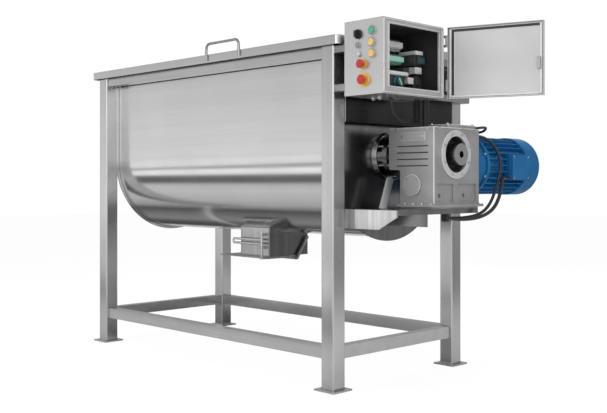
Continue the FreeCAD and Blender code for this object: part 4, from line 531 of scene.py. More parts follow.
TROUGH_STEEL = steel("trough_steel", 0.78, 0.71, rough=0.15, fineness=ALONG_X, relief=0.015)
# The drive end plate is painted darker than the shell: painted shade from the cabinet and gear unit.
END_PLATE_SHADED_STEEL = steel("end_plate_painted_shade", 0.42, 0.24, rough=0.20, fineness=UPRIGHT)
# The drive panel's steel is near black: painted shade for its place in the shadow under the cabinet.
PANEL_SHADED_STEEL = steel("drive_panel_painted_shade", 0.08, 0.04, rough=0.28, fineness=ALONG_Y)
RIM_STEEL = steel("rim_steel", 0.62, 0.50, rough=0.24, fineness=ALONG_X)
# One black for the trough's rubber gasket and for the door's painted gap shadow.
GASKET_AND_GAP_SHADOW = coated("gasket_rubber_and_gap_shadow", grey(0.05), grey(0.03), rough=0.6, grit=500.0)
dress(TROUGH_STEEL, "trough_shell", "far_end_plate")
dress(RIM_STEEL, "trough_rim")
dress(END_PLATE_SHADED_STEEL, "drive_end_plate")
softened("drive_panel", PANEL_SHADED_STEEL, "frame", edge=0.8)
dress(GASKET_AND_GAP_SHADOW, "rim_gasket")
SHELL = 378
AXIS_HEIGHT = 1020
BEND_STEPS = 48
SEAM_X = 841.5
PANEL_LOW = 1160
turns = [math.pi * step / BEND_STEPS for step in range(BEND_STEPS + 1)]
bend = [(-SHELL * math.cos(turn), AXIS_HEIGHT - SHELL * math.sin(turn)) for turn in turns]
section = [(-SHELL, TOP_RAIL[0]), *bend, (SHELL, TOP_RAIL[0])]
trough_welds = [open_path([(x, y, z) for y, z in section]) for x in (-SEAM_X, SEAM_X)]
panel_edge = (PANEL_LOW, TOP_RAIL[0])
trough_welds += [open_path([(LEG_X[1], y, z) for z in panel_edge]) for y in (-LEG_Y[0], LEG_Y[0])]
welded("trough_welds", trough_welds, slot="steel_trough")

# Rotor: a solid stainless shaft with welded arms that carry two ribbons. The outer
# one moves the product inwards, the inner one moves it back out.
ROTOR_STEEL = steel("rotor_steel", 0.62, 0.46, rough=0.22, fineness=ALONG_X)
RIBBON_STEEL = steel("ribbon_steel", 0.60, 0.48, rough=0.22, fineness=UPRIGHT)
dress(ROTOR_STEEL, "mixer_shaft", "mixer_arms")
dress(RIBBON_STEEL, "outer_ribbon", "inner_ribbon")

# Outlet: a welded sheet chute with a flat flange, a hinged flap under it and a
# polished locking handle in front.


def repaint(piece, material, test):
    """A second finish on the faces whose middle, in mm, passes a test."""
    piece.data.materials.append(material)
    last = len(piece.data.materials) - 1
    for face in piece.data.polygons:
        if test(*(value / MM for value in face.center)):
            face.material_index = last


CHUTE_STEEL = steel("chute_steel", 0.62, 0.46, rough=0.16, fineness=UPRIGHT)
FLANGE_STEEL = steel("flange_steel", 0.46, 0.32, rough=0.26, fineness=ALONG_X)
HANDLE_STEEL = steel("handle_steel", 0.78, 0.70, rough=0.10, fineness=ALONG_X, relief=0.01)
# The chute's cheek at the drive end is painted dark: painted shade for the shadow under the trough.
CHEEK_SHADED_STEEL = steel("chute_cheek_painted_shade", 0.26, 0.16, rough=0.24, fineness=UPRIGHT)
CHEEK_X = (-52, 164)
CHEEK_INSIDE = 160
CHEEK_LOW = 515
CHUTE_HALF = 138
CHUTE_SEAM = 668.1
CHUTE_CORNER = (668, 520)
chute = softened("outlet_chute", CHUTE_STEEL, "frame", edge=0.6)
repaint(chute, CHEEK_SHADED_STEEL, lambda x, y, z: x > CHEEK_INSIDE and z > CHEEK_LOW)
softened("outlet_flange", FLANGE_STEEL, "frame", edge=0.8)
softened("outlet_flap", FLANGE_STEEL, "flap", edge=0.6)
dress(FLANGE_STEEL, "flap_hinge")
dress(HANDLE_STEEL, "latch_handle")
across_shell = (-CHUTE_HALF, -90, -45, 0, 45, 90, CHUTE_HALF)
crossing = [(y, AXIS_HEIGHT - math.sqrt(SHELL**2 - y**2)) for y in across_shell]
chute_welds = [open_path([(x, y, z) for y, z in crossing]) for x in CHEEK_X]
chute_welds.append(open_path([(x, -CHUTE_HALF, CHUTE_SEAM) for x in CHEEK_X]))
chute_welds += [open_path([(x, -CHUTE_HALF, z) for z in CHUTE_CORNER]) for x in CHEEK_X]
chute_welds.append(open_path([(x, -CHUTE_HALF, CHUTE_CORNER[1]) for x in CHEEK_X]))
welded("chute_welds", chute_welds, slot="steel_polished")

# Lid: a shallow tray folded from stainless sheet, with rounded folds. It has a bent
# rod handle on top and swings on three hinges at the rear.
LID_STEEL = steel("lid_steel", 0.74, 0.66, rough=0.18, fineness=ALONG_X)
softened("lid_panel", LID_STEEL, "lid", edge=1.8, segments=3)
dress(LID_STEEL, "lid_hinge_leaves", "lid_hinge_brackets")
GRIP_STEEL = steel("grip_steel", 0.50, 0.34, rough=0.22, fineness=(120.0, 120.0, 120.0), relief=0.1)
dress(GRIP_STEEL, "lid_handle")

# Screws: zinc-plated hexagon heads on washers. They hold the gear unit, the motor,
# the terminal lid, the shaft seal and the far bearing, and each is tightened to an
# angle of its own.
ZINC = steel("zinc_screws", 0.72, 0.52, rough=0.24, fineness=(90.0, 90.0, 90.0))
HEX_SIDES = 6
HEX_TALL = 0.66
CROWN_LOW = 0.82
CROWN_WIDE = 0.8
WASHER_SIDES = 20
WASHER_OVER = 1.25
WASHER_TALL = 0.2


def screw_group():
    """A hexagon head on a washer at every point, along its facing, in shares of its size."""
    tree, given, made = repeat_group("hex_screws", [("Seed", "NodeSocketInt", 11)])
    hexagon = add(tree, "GeometryNodeMeshCylinder", [HEX_SIDES, 1, 1, 1.0, HEX_TALL])
    rise = CROWN_LOW - HEX_TALL / 2
    hexagon = add(tree, "GeometryNodeTransform", [hexagon.outputs[0], (0, 0, rise)])
    crown = add(tree, "GeometryNodeMeshCone", [HEX_SIDES, 1, 1, CROWN_WIDE, 1.0, 1.0 - CROWN_LOW])
    crown = add(tree, "GeometryNodeTransform", [crown.outputs[0], (0, 0, CROWN_LOW)])
    washer = add(tree, "GeometryNodeMeshCylinder", [WASHER_SIDES, 1, 1, WASHER_OVER, WASHER_TALL])
    washer = add(tree, "GeometryNodeTransform", [washer.outputs[0], (0, 0, WASHER_TALL / 2)])
    head = tree.nodes.new("GeometryNodeJoinGeometry")
    for part in (hexagon, crown, washer):
        tree.links.new(part.outputs[0], head.inputs[0])
    facing = add(tree, "GeometryNodeInputNamedAttribute", ["facing"], {"data_type": "FLOAT_VECTOR"})
    size = add(tree, "GeometryNodeInputNamedAttribute", ["size"], {"data_type": "FLOAT_VECTOR"})
    drawn = chance(tree, 0.0, math.radians(360 / HEX_SIDES), given.outputs["Seed"])
    spin = add(tree, "FunctionNodeAxisAngleToRotation", [(0, 0, 1), drawn])
    stand = add(tree, "FunctionNodeAlignRotationToVector", Vector=facing.outputs[0])
    turn = add(
        tree,
        "FunctionNodeRotateRotation",
        [stand.outputs[0], spin.outputs[0]],
        {"rotation_space": "LOCAL"},
    )
    points = add(tree, "GeometryNodeMeshToPoints", [given.outputs["Mesh"]])
    placed = add(
        tree,
        "GeometryNodeInstanceOnPoints",
        [points.outputs[0]],
        Instance=head.outputs[0],
        Rotation=turn.outputs[0],
        Scale=size.outputs[0],
    )
    solid = add(tree, "GeometryNodeRealizeInstances", [placed.outputs[0]])
    send_out(tree, given, made, solid.outputs[0])
    return tree


SCREWS = screw_group()


def screwed(name, heads, *stands_for):
    """Screws in mm: each has its place, its facing, its washer's radius and its height."""
    points = [place for place, facing, radius, tall in heads]
    facings = [value for place, facing, radius, tall in heads for value in facing]
    sizes = []
    for place, facing, radius, tall in heads:
        wide = radius / WASHER_OVER * MM
        sizes += [wide, wide, tall * MM]
    facts = {"facing": facings, "size": sizes}
    return grown(name, points, [], SCREWS, ZINC, "zinc_steel", *stands_for, facts=facts)


def around(centre, radius, count):
    """Places on a circle, as pairs of the two coordinates across its axis."""
    angles = [2 * math.pi * (i + 0.5) / count for i in range(count)]
    return [(centre[0] + radius * math.cos(a), centre[1] + radius * math.sin(a)) for a in angles]


DRIVEWARD = (1, 0, 0)
FARWARD = (-1, 0, 0)
UPWARD = (0, 0, 1)
FRONTWARD = (0, -1, 0)
SHAFT = (0, AXIS_HEIGHT)
MOTOR = (1105, 977)
ROUND_COVER = (1105, 886)
GEAR_FAR = 1221
GEAR_FRONT = -150
BASE_TOP = 803
EDGE_SCREWS_Z = 1131
RING_OUT = 1231
TOP_COVER = 1153
WINDOW_OUT = -154
ROUND_COVER_OUT = -158
SEAL_OUT = 907
FAR_OUT = -861.5
ADAPTER_FRONT = 218
TERMINAL_LID = 1262
ring_screws = [((RING_OUT, y, z), DRIVEWARD, 7, 6) for y, z in around(SHAFT, 93, 8)]
top_screws = [((x, y, TOP_COVER), UPWARD, 7, 6) for x in (1116, 1202) for y in (-29, 154)]
window_screws = [((x, WINDOW_OUT, 1097.5), FRONTWARD, 7, 6) for x in (1051, 1165)]
base_spots = [(x, y) for x in (1067, 1115, 1163, 1210) for y in (-157.5, 187.5)]
base_screws = [((x, y, BASE_TOP), UPWARD, 7, 6) for x, y in base_spots]
face_screws = [((GEAR_FAR, y, EDGE_SCREWS_Z), DRIVEWARD, 7.5, 6) for y in (-112, 60, 150)]
gear_screws = ring_screws + top_screws + window_screws + base_screws + face_screws
screwed("gear_screws", gear_screws, "gearbox_bolts")
seal_screws = [((SEAL_OUT, y, z), DRIVEWARD, 8, 7) for y, z in around(SHAFT, 86, 6)]
bearing_screws = [((FAR_OUT, y, z), FARWARD, 8, 6) for y, z in around(SHAFT, 78, 4)]
adapter_screws = [((x, ADAPTER_FRONT, z), FRONTWARD, 6.4, 6) for x, z in around(MOTOR, 132.5, 8)]
lid_screws = [((TERMINAL_LID, y, z), DRIVEWARD, 5, 3.4) for y in (402, 523) for z in (920, 1018)]
cover_spots = around(ROUND_COVER, 38, 4)
cover_screws = [((x, ROUND_COVER_OUT, z), FRONTWARD, 4, 2.6) for x, z in cover_spots]
side_screws = [((x, GEAR_FRONT, EDGE_SCREWS_Z), FRONTWARD, 7, 5) for x in (1012, 1190)]
drive_screws = seal_screws + bearing_screws + adapter_screws
drive_screws += lid_screws + cover_screws + side_screws
screwed("drive_screws", drive_screws)

# Shaft seal and far bearing: at the drive end a turned stainless housing with its
# darker gland, at the far end a grey casting with a closed cap.
SEAL_STEEL = steel("seal_steel", 0.82, 0.66, rough=0.10, fineness=UPRIGHT)
SEAL_DARK = steel("seal_gland_steel", 0.50, 0.30, rough=0.12, fineness=UPRIGHT)
softened("seal_housing", SEAL_STEEL, "frame", edge=1.2)
softened("seal_gland", SEAL_DARK, "frame", edge=1.2)
FAR_CAST = coated(
    "far_bearing_cast", grey(0.50), grey(0.40), rough=0.34, metal=0.4, size=9.0, grit=420.0
)
softened("far_bearing", FAR_CAST, "frame", edge=1.2)

# Drive carrier: a thick stainless tray under the gear unit, welded to a side plate
# at its front. A flat zinc-plated strut takes up the twist of the drive.
TRAY_STEEL = steel("tray_steel", 0.40, 0.28, rough=0.22, fineness=ALONG_X)
SIDE_STEEL = steel("side_plate_steel", 0.84, 0.30, rough=0.14, fineness=(40.0, 40.0, 1.0))
softened("gear_platform", TRAY_STEEL, "frame", edge=0.8)
softened("platform_side_plate", SIDE_STEEL, "frame", edge=0.8)
# The strut is painted near white, paler than zinc plate: painted light against the shade it stands in.
STRUT_LIT_ZINC = coated("strut_zinc_painted_light", grey(0.96), grey(0.88), rough=0.3, relief=0.03)
softened("torque_strut", STRUT_LIT_ZINC, "frame", edge=0.8)
TRAY_TOP = 783
SIDE_LOW = 700
SIDE_END = 1212
SIDE_CORNER = 752
tray_ends = ((LEG_X[1], SIDE_LOW), (SIDE_END, SIDE_CORNER))
tray_welds = [open_path([(x, -LEG_Y[0], z) for z in (low, TRAY_TOP)]) for x, low in tray_ends]
welded("tray_welds", tray_welds)

# Gear unit: a grey casting with grooves in its side, screwed covers, and a machined
# ring round the deep recess of its output hub. Its outer edges carry painted
# highlights, and its recess and grooves painted shade.


def block(x, y, z):
    """A box in mm between a low and a high value on each axis."""
    points = [(a, b, c) for a in x for b in y for c in z]
    faces = [(0, 1, 3, 2), (4, 6, 7, 5), (0, 4, 5, 1), (2, 3, 7, 6), (0, 2, 6, 4), (1, 5, 7, 3)]
    return points, faces


def closed(shapes):
    """An edited mesh of closed shapes given in mm."""
    mesh = bmesh.new()
    for points, faces in shapes:
        corners = [mesh.verts.new(metres(point)) for point in points]
        for face in faces:
            mesh.faces.new([corners[i] for i in face])
    bmesh.ops.recalc_face_normals(mesh, faces=mesh.faces)
    return mesh


def built(name, shapes, material, slot, body, *stands_for, edge=0.6):
    """One piece from closed shapes given in mm."""
    piece = shaped(closed(shapes), name, edge)
    return finish_piece(piece, material, slot, body, *stands_for)


def highlight_edges(piece, material):
    """Another finish on the broken edges of a piece: a painted highlight along them."""
    piece.data.materials.append(material)
    piece.modifiers["broken_edges"].material = len(piece.data.materials) - 1


CAST = coated(
    "grey_casting", grey(0.46), grey(0.36), rough=0.34, metal=0.4, size=9.0, grit=420.0, relief=0.25
)
CAST_COVER = coated(
    "cover_casting", grey(0.52), grey(0.42), rough=0.30, metal=0.4, size=9.0, grit=420.0, relief=0.2
)
# The hub's recess and the side grooves are painted near black: painted shade inside them.
RECESS_SHADE = coated("recess_painted_shade", grey(0.06), grey(0.03), rough=0.5, grit=420.0)
GROOVE_SHADE = coated("groove_painted_shade", grey(0.10), grey(0.06), rough=0.5, grit=420.0)
RING_FACE = coated("machined_ring", grey(0.86), grey(0.74), rough=0.26, metal=0.55, relief=0.02)
# A pale finish for painted highlights on edges.
EDGE_HIGHLIGHT = coated("painted_edge_highlight", grey(0.95), grey(0.82), rough=0.30, metal=0.15, relief=0.03)
RECESS_FLOOR = 1170
RECESS_RADIUS = 81
GROOVE_DEEP = 4
GROOVE_Z = (960, 1060)


def in_recess(x, y, z):
    """Whether a place lies in the recess of the output hub."""
    return RECESS_FLOOR < x < GEAR_FAR - 1 and math.hypot(y, z - AXIS_HEIGHT) < RECESS_RADIUS


def in_groove(x, y, z):
    """Whether a place lies in one of the grooves of the front side."""
    return 0.1 < y - GEAR_FRONT < GROOVE_DEEP + 0.1 and GROOVE_Z[0] < z < GROOVE_Z[1]


housing = softened("gearbox_housing", CAST, "frame", edge=2.0, segments=3)
repaint(housing, RECESS_SHADE, in_recess)
repaint(housing, GROOVE_SHADE, in_groove)
covers = softened("gearbox_covers", CAST_COVER, "frame", edge=1.6)
repaint(covers, RING_FACE, lambda x, y, z: x > GEAR_FAR)
highlight_edges(covers, EDGE_HIGHLIGHT)
# Bright strips laid just proud along the near corner and top edges of the housing: painted highlights.
GEAR_NEAR = 975
GEAR_REAR = 184
GEAR_TOP = 1137
PROUD = 0.6
CORNER_WIDE = 5
EDGE_WIDE = 4
edge_x = GEAR_FAR + PROUD
edge_y = GEAR_FRONT - PROUD
edge_z = GEAR_TOP + PROUD
top_edge = (edge_z - EDGE_WIDE, edge_z)
corner_x = edge_x - CORNER_WIDE
corner_y = edge_y + CORNER_WIDE
highlight_strips = [
    block((corner_x, edge_x), (edge_y, corner_y), (BASE_TOP + 1, GEAR_TOP)),
    block((GEAR_NEAR, corner_x), (edge_y, edge_y + EDGE_WIDE), top_edge),
    block((edge_x - EDGE_WIDE, edge_x), (corner_y, GEAR_REAR), top_edge),
]
built("painted_corner_highlights", highlight_strips, EDGE_HIGHLIGHT, slot_of["gearbox_housing"], "frame", edge=1.8)

# Motor: a finned casting with an adapter to the gear unit, a fan cowl and a terminal
# box, all painted the same blue. The fan and the rotor behind it are dark.
BLUE_LIGHT = (0.014, 0.19, 0.44, 1.0)
BLUE_DARK = (0.008, 0.12, 0.32, 1.0)
MOTOR_BLUE = coated("motor_blue", BLUE_LIGHT, BLUE_DARK, rough=0.48, size=7.0, grit=500.0, relief=0.12)
MOTOR_BLUE.node_tree.nodes["Principled BSDF"].inputs["Specular IOR Level"].default_value = 0.2
FAN_PLASTIC = coated("fan_plastic", grey(0.04), grey(0.02), rough=0.5)
dress(MOTOR_BLUE, "motor_adapter", "motor_housing", "fan_cowl")
softened("terminal_box", MOTOR_BLUE, "frame", edge=1.6, segments=3)
softened("terminal_lid", MOTOR_BLUE, "frame", edge=1.6, segments=3)
dress(FAN_PLASTIC, "motor_rotor")

# Cabinet: a folded sheet box in light satin grey with a double lip round its
# opening, on two square tubes. The door hangs open on two hinges and shows the bright
# lips of its inside, and a black strip under its top and hinge edges that is painted
# shadow of the gap there.
CABINET_GREY = coated(
    "cabinet_satin_grey", grey(0.72), grey(0.66), rough=0.26, metal=0.7, size=3.0, grit=700.0, relief=0.04
)
# The inner sides of the box are painted near black: painted shade for the dark inside the cabinet.
INSIDE_SHADE = coated("cabinet_inside_painted_shade", grey(0.07), grey(0.05), rough=0.5, grit=500.0)
BRACKET_STEEL = steel("bracket_steel", 0.50, 0.38, rough=0.26, fineness=ALONG_Y)
# The mounting plate's zinc is painted near black: painted shade inside the cabinet.
MOUNTING_PLATE_SHADE = steel("plate_zinc_painted_shade", 0.12, 0.07, rough=0.4, fineness=ALONG_Y)
# The door is a darker copy of the box's satin grey: painted shade on its inside face.
DOOR_SHADED_GREY = coated(
    "door_grey_painted_shade", grey(0.52), grey(0.46), rough=0.30, metal=0.55, size=3.0, grit=700.0, relief=0.04
)
INSIDE = ((978.5, 1188.9), (-446, -46), (1262, 1572))


def in_cabinet(*place):
    """Whether a place lies on the inner side of the cabinet's sheet."""
    return all(low < value < high for value, (low, high) in zip(place, INSIDE))


box = softened("cabinet_box", CABINET_GREY, "frame", edge=1.2)
repaint(box, INSIDE_SHADE, in_cabinet)
softened("cabinet_door", DOOR_SHADED_GREY, "door", edge=1.0)
softened("cabinet_brackets", BRACKET_STEEL, "frame", edge=0.8)
CAP_X = (926.2, 974.8)
CAP_Y = 447.4
CAP_HALF = 1.4
CAP_LOWS = (1288.2, 1453.2)
CAP_TALL = 23.6
caps = [
    block(CAP_X, (y - CAP_HALF, y + CAP_HALF), (low, low + CAP_TALL))
    for y in (-CAP_Y, CAP_Y)
    for low in CAP_LOWS
]
built("bracket_caps", caps, BRACKET_STEEL, slot_of["cabinet_brackets"], "frame", edge=0.5)
softened("mounting_plate", MOUNTING_PLATE_SHADE, "frame", edge=0.4)
dress(BRACKET_STEEL, "cabinet_hinges")
CAM_ZINC = coated("cam_zinc", grey(0.40), grey(0.30), rough=0.3, metal=0.5, relief=0.05)
dress(CAM_ZINC, "door_latch")
HINGE_LINE = (1198.5, -31.0)
DOOR_TURN = math.radians(108)
PAN = (1199, 1203.8)
DOOR_EDGE = 1268
DOOR_HEAD = 1564


def swung(shape):
    """A shape built on the closed door, carried round the hinge line to the open one."""
    points, faces = shape
    c, s = math.cos(DOOR_TURN), math.sin(DOOR_TURN)
    turned = []
    for x, y, z in points:
        dx, dy = x - HINGE_LINE[0], y - HINGE_LINE[1]
        turned.append((HINGE_LINE[0] + dx * c - dy * s, HINGE_LINE[1] + dx * s + dy * c, z))
    return turned, faces


# Black strips under the door's top and along its hinge edge: painted shadow of the gap there.
gasket = [
    block(PAN, (-436, -64), (1554, DOOR_HEAD)),
    block(PAN, (-64, -53), (1278, DOOR_HEAD)),
]
built("door_gap_shadow", [swung(strip) for strip in gasket], GASKET_AND_GAP_SHADOW, "seal_rubber", "door", edge=2.0)
DOOR_LIP = coated("door_lip_grey", grey(0.72), grey(0.66), rough=0.30, metal=0.4, relief=0.02)
door_lips = [
    block(PAN, (-446, -436), (DOOR_EDGE, DOOR_HEAD)),
    block(PAN, (-53, -44), (DOOR_EDGE, DOOR_HEAD)),
    block((1201, PAN[1]), (-70, -64), (1276, 1554)),
    block(PAN, (-436, -53), (DOOR_EDGE, 1276)),
]
built("door_lips", [swung(lip) for lip in door_lips], DOOR_LIP, "cabinet_grey", "door", edge=1.2)
# The lips round the cabinet's opening are a paler copy of its grey: painted highlight along them.
LIP_HIGHLIGHT_GREY = coated("lip_grey_painted_highlight", grey(0.90), grey(0.80), rough=0.22, metal=0.5, relief=0.02)
MOUTH = (1190.2, 1196)
INNER_LIP = (-416, -76, 1288, 1554, 5)
OUTER_LIP = (-445, -47, 1266, 1568, 4)
mouth_lips = []
for front, rear, low, high, wide in (INNER_LIP, OUTER_LIP):
    mouth_lips += [
        block(MOUTH, (front, front + wide), (low, high)),
        block(MOUTH, (rear - wide, rear), (low, high)),
        block(MOUTH, (front + wide, rear - wide), (low, low + wide)),
        block(MOUTH, (front + wide, rear - wide), (high - wide, high)),
    ]
built("mouth_lips", mouth_lips, LIP_HIGHLIGHT_GREY, "cabinet_grey", "frame", edge=0.8)

# Switchgear: two rows of rail terminals with their screws, a contactor, a motor
# starter with a round dial, a supply and a ring transformer, on a zinc plate painted
# near black as shade.
WHITE_PLASTIC = coated("terminal_white", grey(0.96), grey(0.88), rough=0.42, grit=600.0)
MINT_LIGHT = (0.50, 0.95, 0.80, 1.0)
MINT_DARK = (0.38, 0.85, 0.70, 1.0)
MINT_PLASTIC = coated("terminal_mint", MINT_LIGHT, MINT_DARK, rough=0.4, grit=600.0)
DARK_PLASTIC = coated("starter_dark", grey(0.07), grey(0.045), rough=0.35, grit=600.0)
TEAL_LIGHT = (0.05, 0.17, 0.18, 1.0)
TEAL_DARK = (0.03, 0.11, 0.12, 1.0)
TEAL_PLASTIC = coated("dial_teal", TEAL_LIGHT, TEAL_DARK, rough=0.3, grit=600.0)
RAIL_FACE = 997
ROW_START = -379.75
TERMINALS = 20
TERMINAL_STEP = 12
TERMINAL_THICK = 11
SHOULDER = 18
NECK = 13
SCREW_SEAT = 11
SCREW_RADIUS = 3.6


def row_group():
    """The mesh given, repeated in a straight row along the rail."""
    step = (0.0, TERMINAL_STEP * MM, 0.0)
    tree, given, made = repeat_group(
        "device_row", [("Count", "NodeSocketInt", TERMINALS), ("Step", "NodeSocketVector", step)]
    )
    count, offset = given.outputs["Count"], given.outputs["Step"]
    line = add(tree, "GeometryNodeMeshLine", [count], Offset=offset)
    placed = add(
        tree, "GeometryNodeInstanceOnPoints", [line.outputs[0]], Instance=given.outputs["Mesh"]
    )
    solid = add(tree, "GeometryNodeRealizeInstances", [placed.outputs[0]])
    send_out(tree, given, made, solid.outputs[0])
    return tree


ROW = row_group()


def lathe(axis, centre, profile, steps=28, hollow=False):
    """A turned shape in mm: its profile lists (along, radius), and hollow makes it a ring."""
    along_axis = "xyz".index(axis)
    across = [i for i in range(3) if i != along_axis]
    points = []
    for along, radius in profile:
        for i in range(steps):
            angle = 2 * math.pi * i / steps
            spot = [0.0, 0.0, 0.0]
            spot[along_axis] = along
            spot[across[0]] = centre[0] + radius * math.cos(angle)
            spot[across[1]] = centre[1] + radius * math.sin(angle)
            points.append(spot)
    count = len(profile)
    faces = []
    for row in range(count if hollow else count - 1):
        first, second = row * steps, (row + 1) % count * steps
        for i in range(steps):
            j = (i + 1) % steps
            faces.append((first + i, first + j, second + j, second + i))
    if not hollow:
        faces += [tuple(range(steps))[::-1], tuple(range((count - 1) * steps, count * steps))]
    return points, faces


def prism(profile, y):
    """A closed outline of (x, z) corners, drawn out along Y."""
    count = len(profile)
    points = [(x, side, z) for side in y for x, z in profile]
    faces = [(i, (i + 1) % count, (i + 1) % count + count, i + count) for i in range(count)]
    return points, faces + [tuple(range(count)), tuple(range(count, 2 * count))[::-1]]


def turned_out(shape):
    """A prism with X and Y changed over, so that its outline faces out of the cabinet."""
    points, faces = shape
    return [(x, y, z) for y, x, z in points], faces


def in_a_row(name, shapes, material, slot, *stands_for):
    """A built shape repeated along the terminal rail."""
    piece = shaped(closed(shapes), name, 0.4)
    repeated(piece, ROW, material)
    return finish_piece(piece, material, slot, "frame", *stands_for)


def terminal(middle, tall, deep):
    """A rail terminal: a stepped body, narrower towards its front."""
    half = tall / 2
    front = RAIL_FACE + deep
    profile = [
        (RAIL_FACE, -half),
        (front - SHOULDER, -half),
        (front - NECK, -half * 0.62),
        (front, -half * 0.5),
        (front, half * 0.5),
        (front - NECK, half * 0.62),
        (front - SHOULDER, half),
        (RAIL_FACE, half),
    ]
    return prism([(x, middle + z) for x, z in profile], (ROW_START, ROW_START + TERMINAL_THICK))


for name, middle, tall, deep, plastic in (
    ("upper", 1500, 48, 46, WHITE_PLASTIC),
    ("lower", 1437, 42, 52, MINT_PLASTIC),
):
    unit = [terminal(middle, tall, deep)]
    in_a_row(f"terminals_{name}", unit, plastic, "device_plastic", "switchgear")
    face = RAIL_FACE + deep
    seat = [(face - SHOULDER, SCREW_RADIUS), (face - SCREW_SEAT, SCREW_RADIUS)]
    spots = [(ROW_START + TERMINAL_THICK / 2, middle + side * tall * 0.4) for side in (-1, 1)]
    seats = [lathe("x", spot, seat, steps=12) for spot in spots]
    in_a_row(f"terminal_screws_{name}", seats, ZINC, "zinc_steel")

white = [
    block((RAIL_FACE, 1096), (-118, -66), (1459, 1476)),
    block((RAIL_FACE, 1092), (-300, -166), (1358, 1376)),
    block((1092, 1098), (-296, -170), (1361, 1373)),
    block((RAIL_FACE, 1092), (-116, -70), (1376, 1404)),
    block((1092, 1096), (-108, -78), (1382, 1398)),
    block((RAIL_FACE, 1088), (-162, -122), (1328, 1356)),
]
built("switchgear_white", white, WHITE_PLASTIC, "device_plastic", "frame", edge=1.0)
RING = (-84, 1336)
RING_BORE = 15
RING_RADIUS = 34
RING_X = (1040, 1078)
loop = [(RING_X[0], RING_BORE), (RING_X[0], RING_RADIUS)]
loop += [(RING_X[1], RING_RADIUS), (RING_X[1], RING_BORE)]
core = [(RAIL_FACE, RING_BORE), (1082, RING_BORE), (1086, 11)]
dark = [
    block((RAIL_FACE, 1092), (-122, -52), (1410, 1457)),
    block((1092, 1104), (-114, -58), (1416, 1451)),
    block((RAIL_FACE, 1082), (-300, -178), (1306, 1356)),
    block((RAIL_FACE, 1066), (-164, -126), (1366, 1400)),
    lathe("x", RING, loop, hollow=True),
    lathe("x", RING, core, steps=16),
]
built("switchgear_dark", dark, DARK_PLASTIC, "device_plastic", "frame", edge=1.2)
DIAL = (-230, 1331)
dial_steps = [(1082, 26), (1088, 26), (1092, 21), (1102, 18), (1104, 15)]
teal = [
    lathe("x", DIAL, dial_steps, steps=32),
    block((1104, 1105.5), (-106, -66), (1421, 1446)),
]
built("switchgear_teal", teal, TEAL_PLASTIC, "device_plastic", "frame", edge=0.6)
hand = [(-242, 1343), (-236, 1347), (-218, 1319), (-224, 1315)]
pointer = [turned_out(prism(hand, (1103.8, 1105.2)))]
built("dial_pointer", pointer, MINT_PLASTIC, "device_plastic", "frame", edge=0.15)

# Controls: push buttons, a pilot lamp, a selector and a key switch on the cabinet's
# side, and two mushroom buttons over yellow rings, the lower one the emergency stop.
# They are moulded plastic, the push buttons in bright metal bezels.
BLACK_PLASTIC = coated("black_plastic", grey(0.03), grey(0.015), rough=0.38, grit=700.0, relief=0.1)
GREEN = coated("green_button", (0.11, 0.52, 0.30, 1.0), (0.08, 0.44, 0.25, 1.0), rough=0.22, coat=0.4)
YELLOW = coated("yellow_button", (0.95, 0.66, 0.19, 1.0), (0.9, 0.58, 0.15, 1.0), rough=0.22, coat=0.4)
RED = coated("red_button", (0.62, 0.025, 0.02, 1.0), (0.50, 0.015, 0.012, 1.0), rough=0.22, coat=0.4)
RING_YELLOW = coated("yellow_ring", (0.88, 0.56, 0.08, 1.0), (0.76, 0.46, 0.05, 1.0), rough=0.4)
BEZEL = steel("button_bezel", 0.66, 0.54, rough=0.16, fineness=(80.0, 80.0, 80.0))
LENS = coated("lamp_lens", grey(0.75), grey(0.6), rough=0.15, coat=0.5)
dress(GREEN, "green_button")
dress(YELLOW, "yellow_button_upper", "yellow_button_lower")
dress(RED, "stop_button", "emergency_stop")
dress(RING_YELLOW, "stop_rings")
dress(BLACK_PLASTIC, "selector_knob")
dress(ZINC, "key_switch")
SELECTOR = (1057, 1514)
PILOT = (1060, 1432)


def within(middle, radius):
    """A test for places round the middle of a control on the cabinet's side."""
    return lambda x, y, z: math.hypot(x - middle[0], z - middle[1]) < radius


bezels = softened("button_bezels", BEZEL, "frame", edge=0.6)
repaint(bezels, BLACK_PLASTIC, within(SELECTOR, 21))
repaint(bezels, LENS, within(PILOT, 8.5))

# Cables: black sheathed leads. One hangs in a loop under the cabinet, two sweep
# round the outside of the motor to clips under the tray, one runs over its top.
SHEATH = coated("cable_sheath", grey(0.028), grey(0.012), rough=0.32, grit=900.0, coat=0.3)


def cable(name, node, radius, points):
    """A lead on a smooth line through its route, both ends held by the machine."""
    curve = bpy.data.curves.new(name, "CURVE")
    curve.dimensions = "3D"
    spline = curve.splines.new("NURBS")
    spline.points.add(len(points) - 1)
    for place, point in zip(spline.points, points):
        place.co = (*metres(point), 1)
    spline.order_u = 3
    spline.use_endpoint_u = True
    curve.resolution_u = 10
    curve.bevel_depth = radius * MM
    curve.bevel_resolution = 5
    curve.use_fill_caps = True
    piece = linked(name, curve)
    finish_piece(piece, SHEATH, "cable_black", "frame", node)


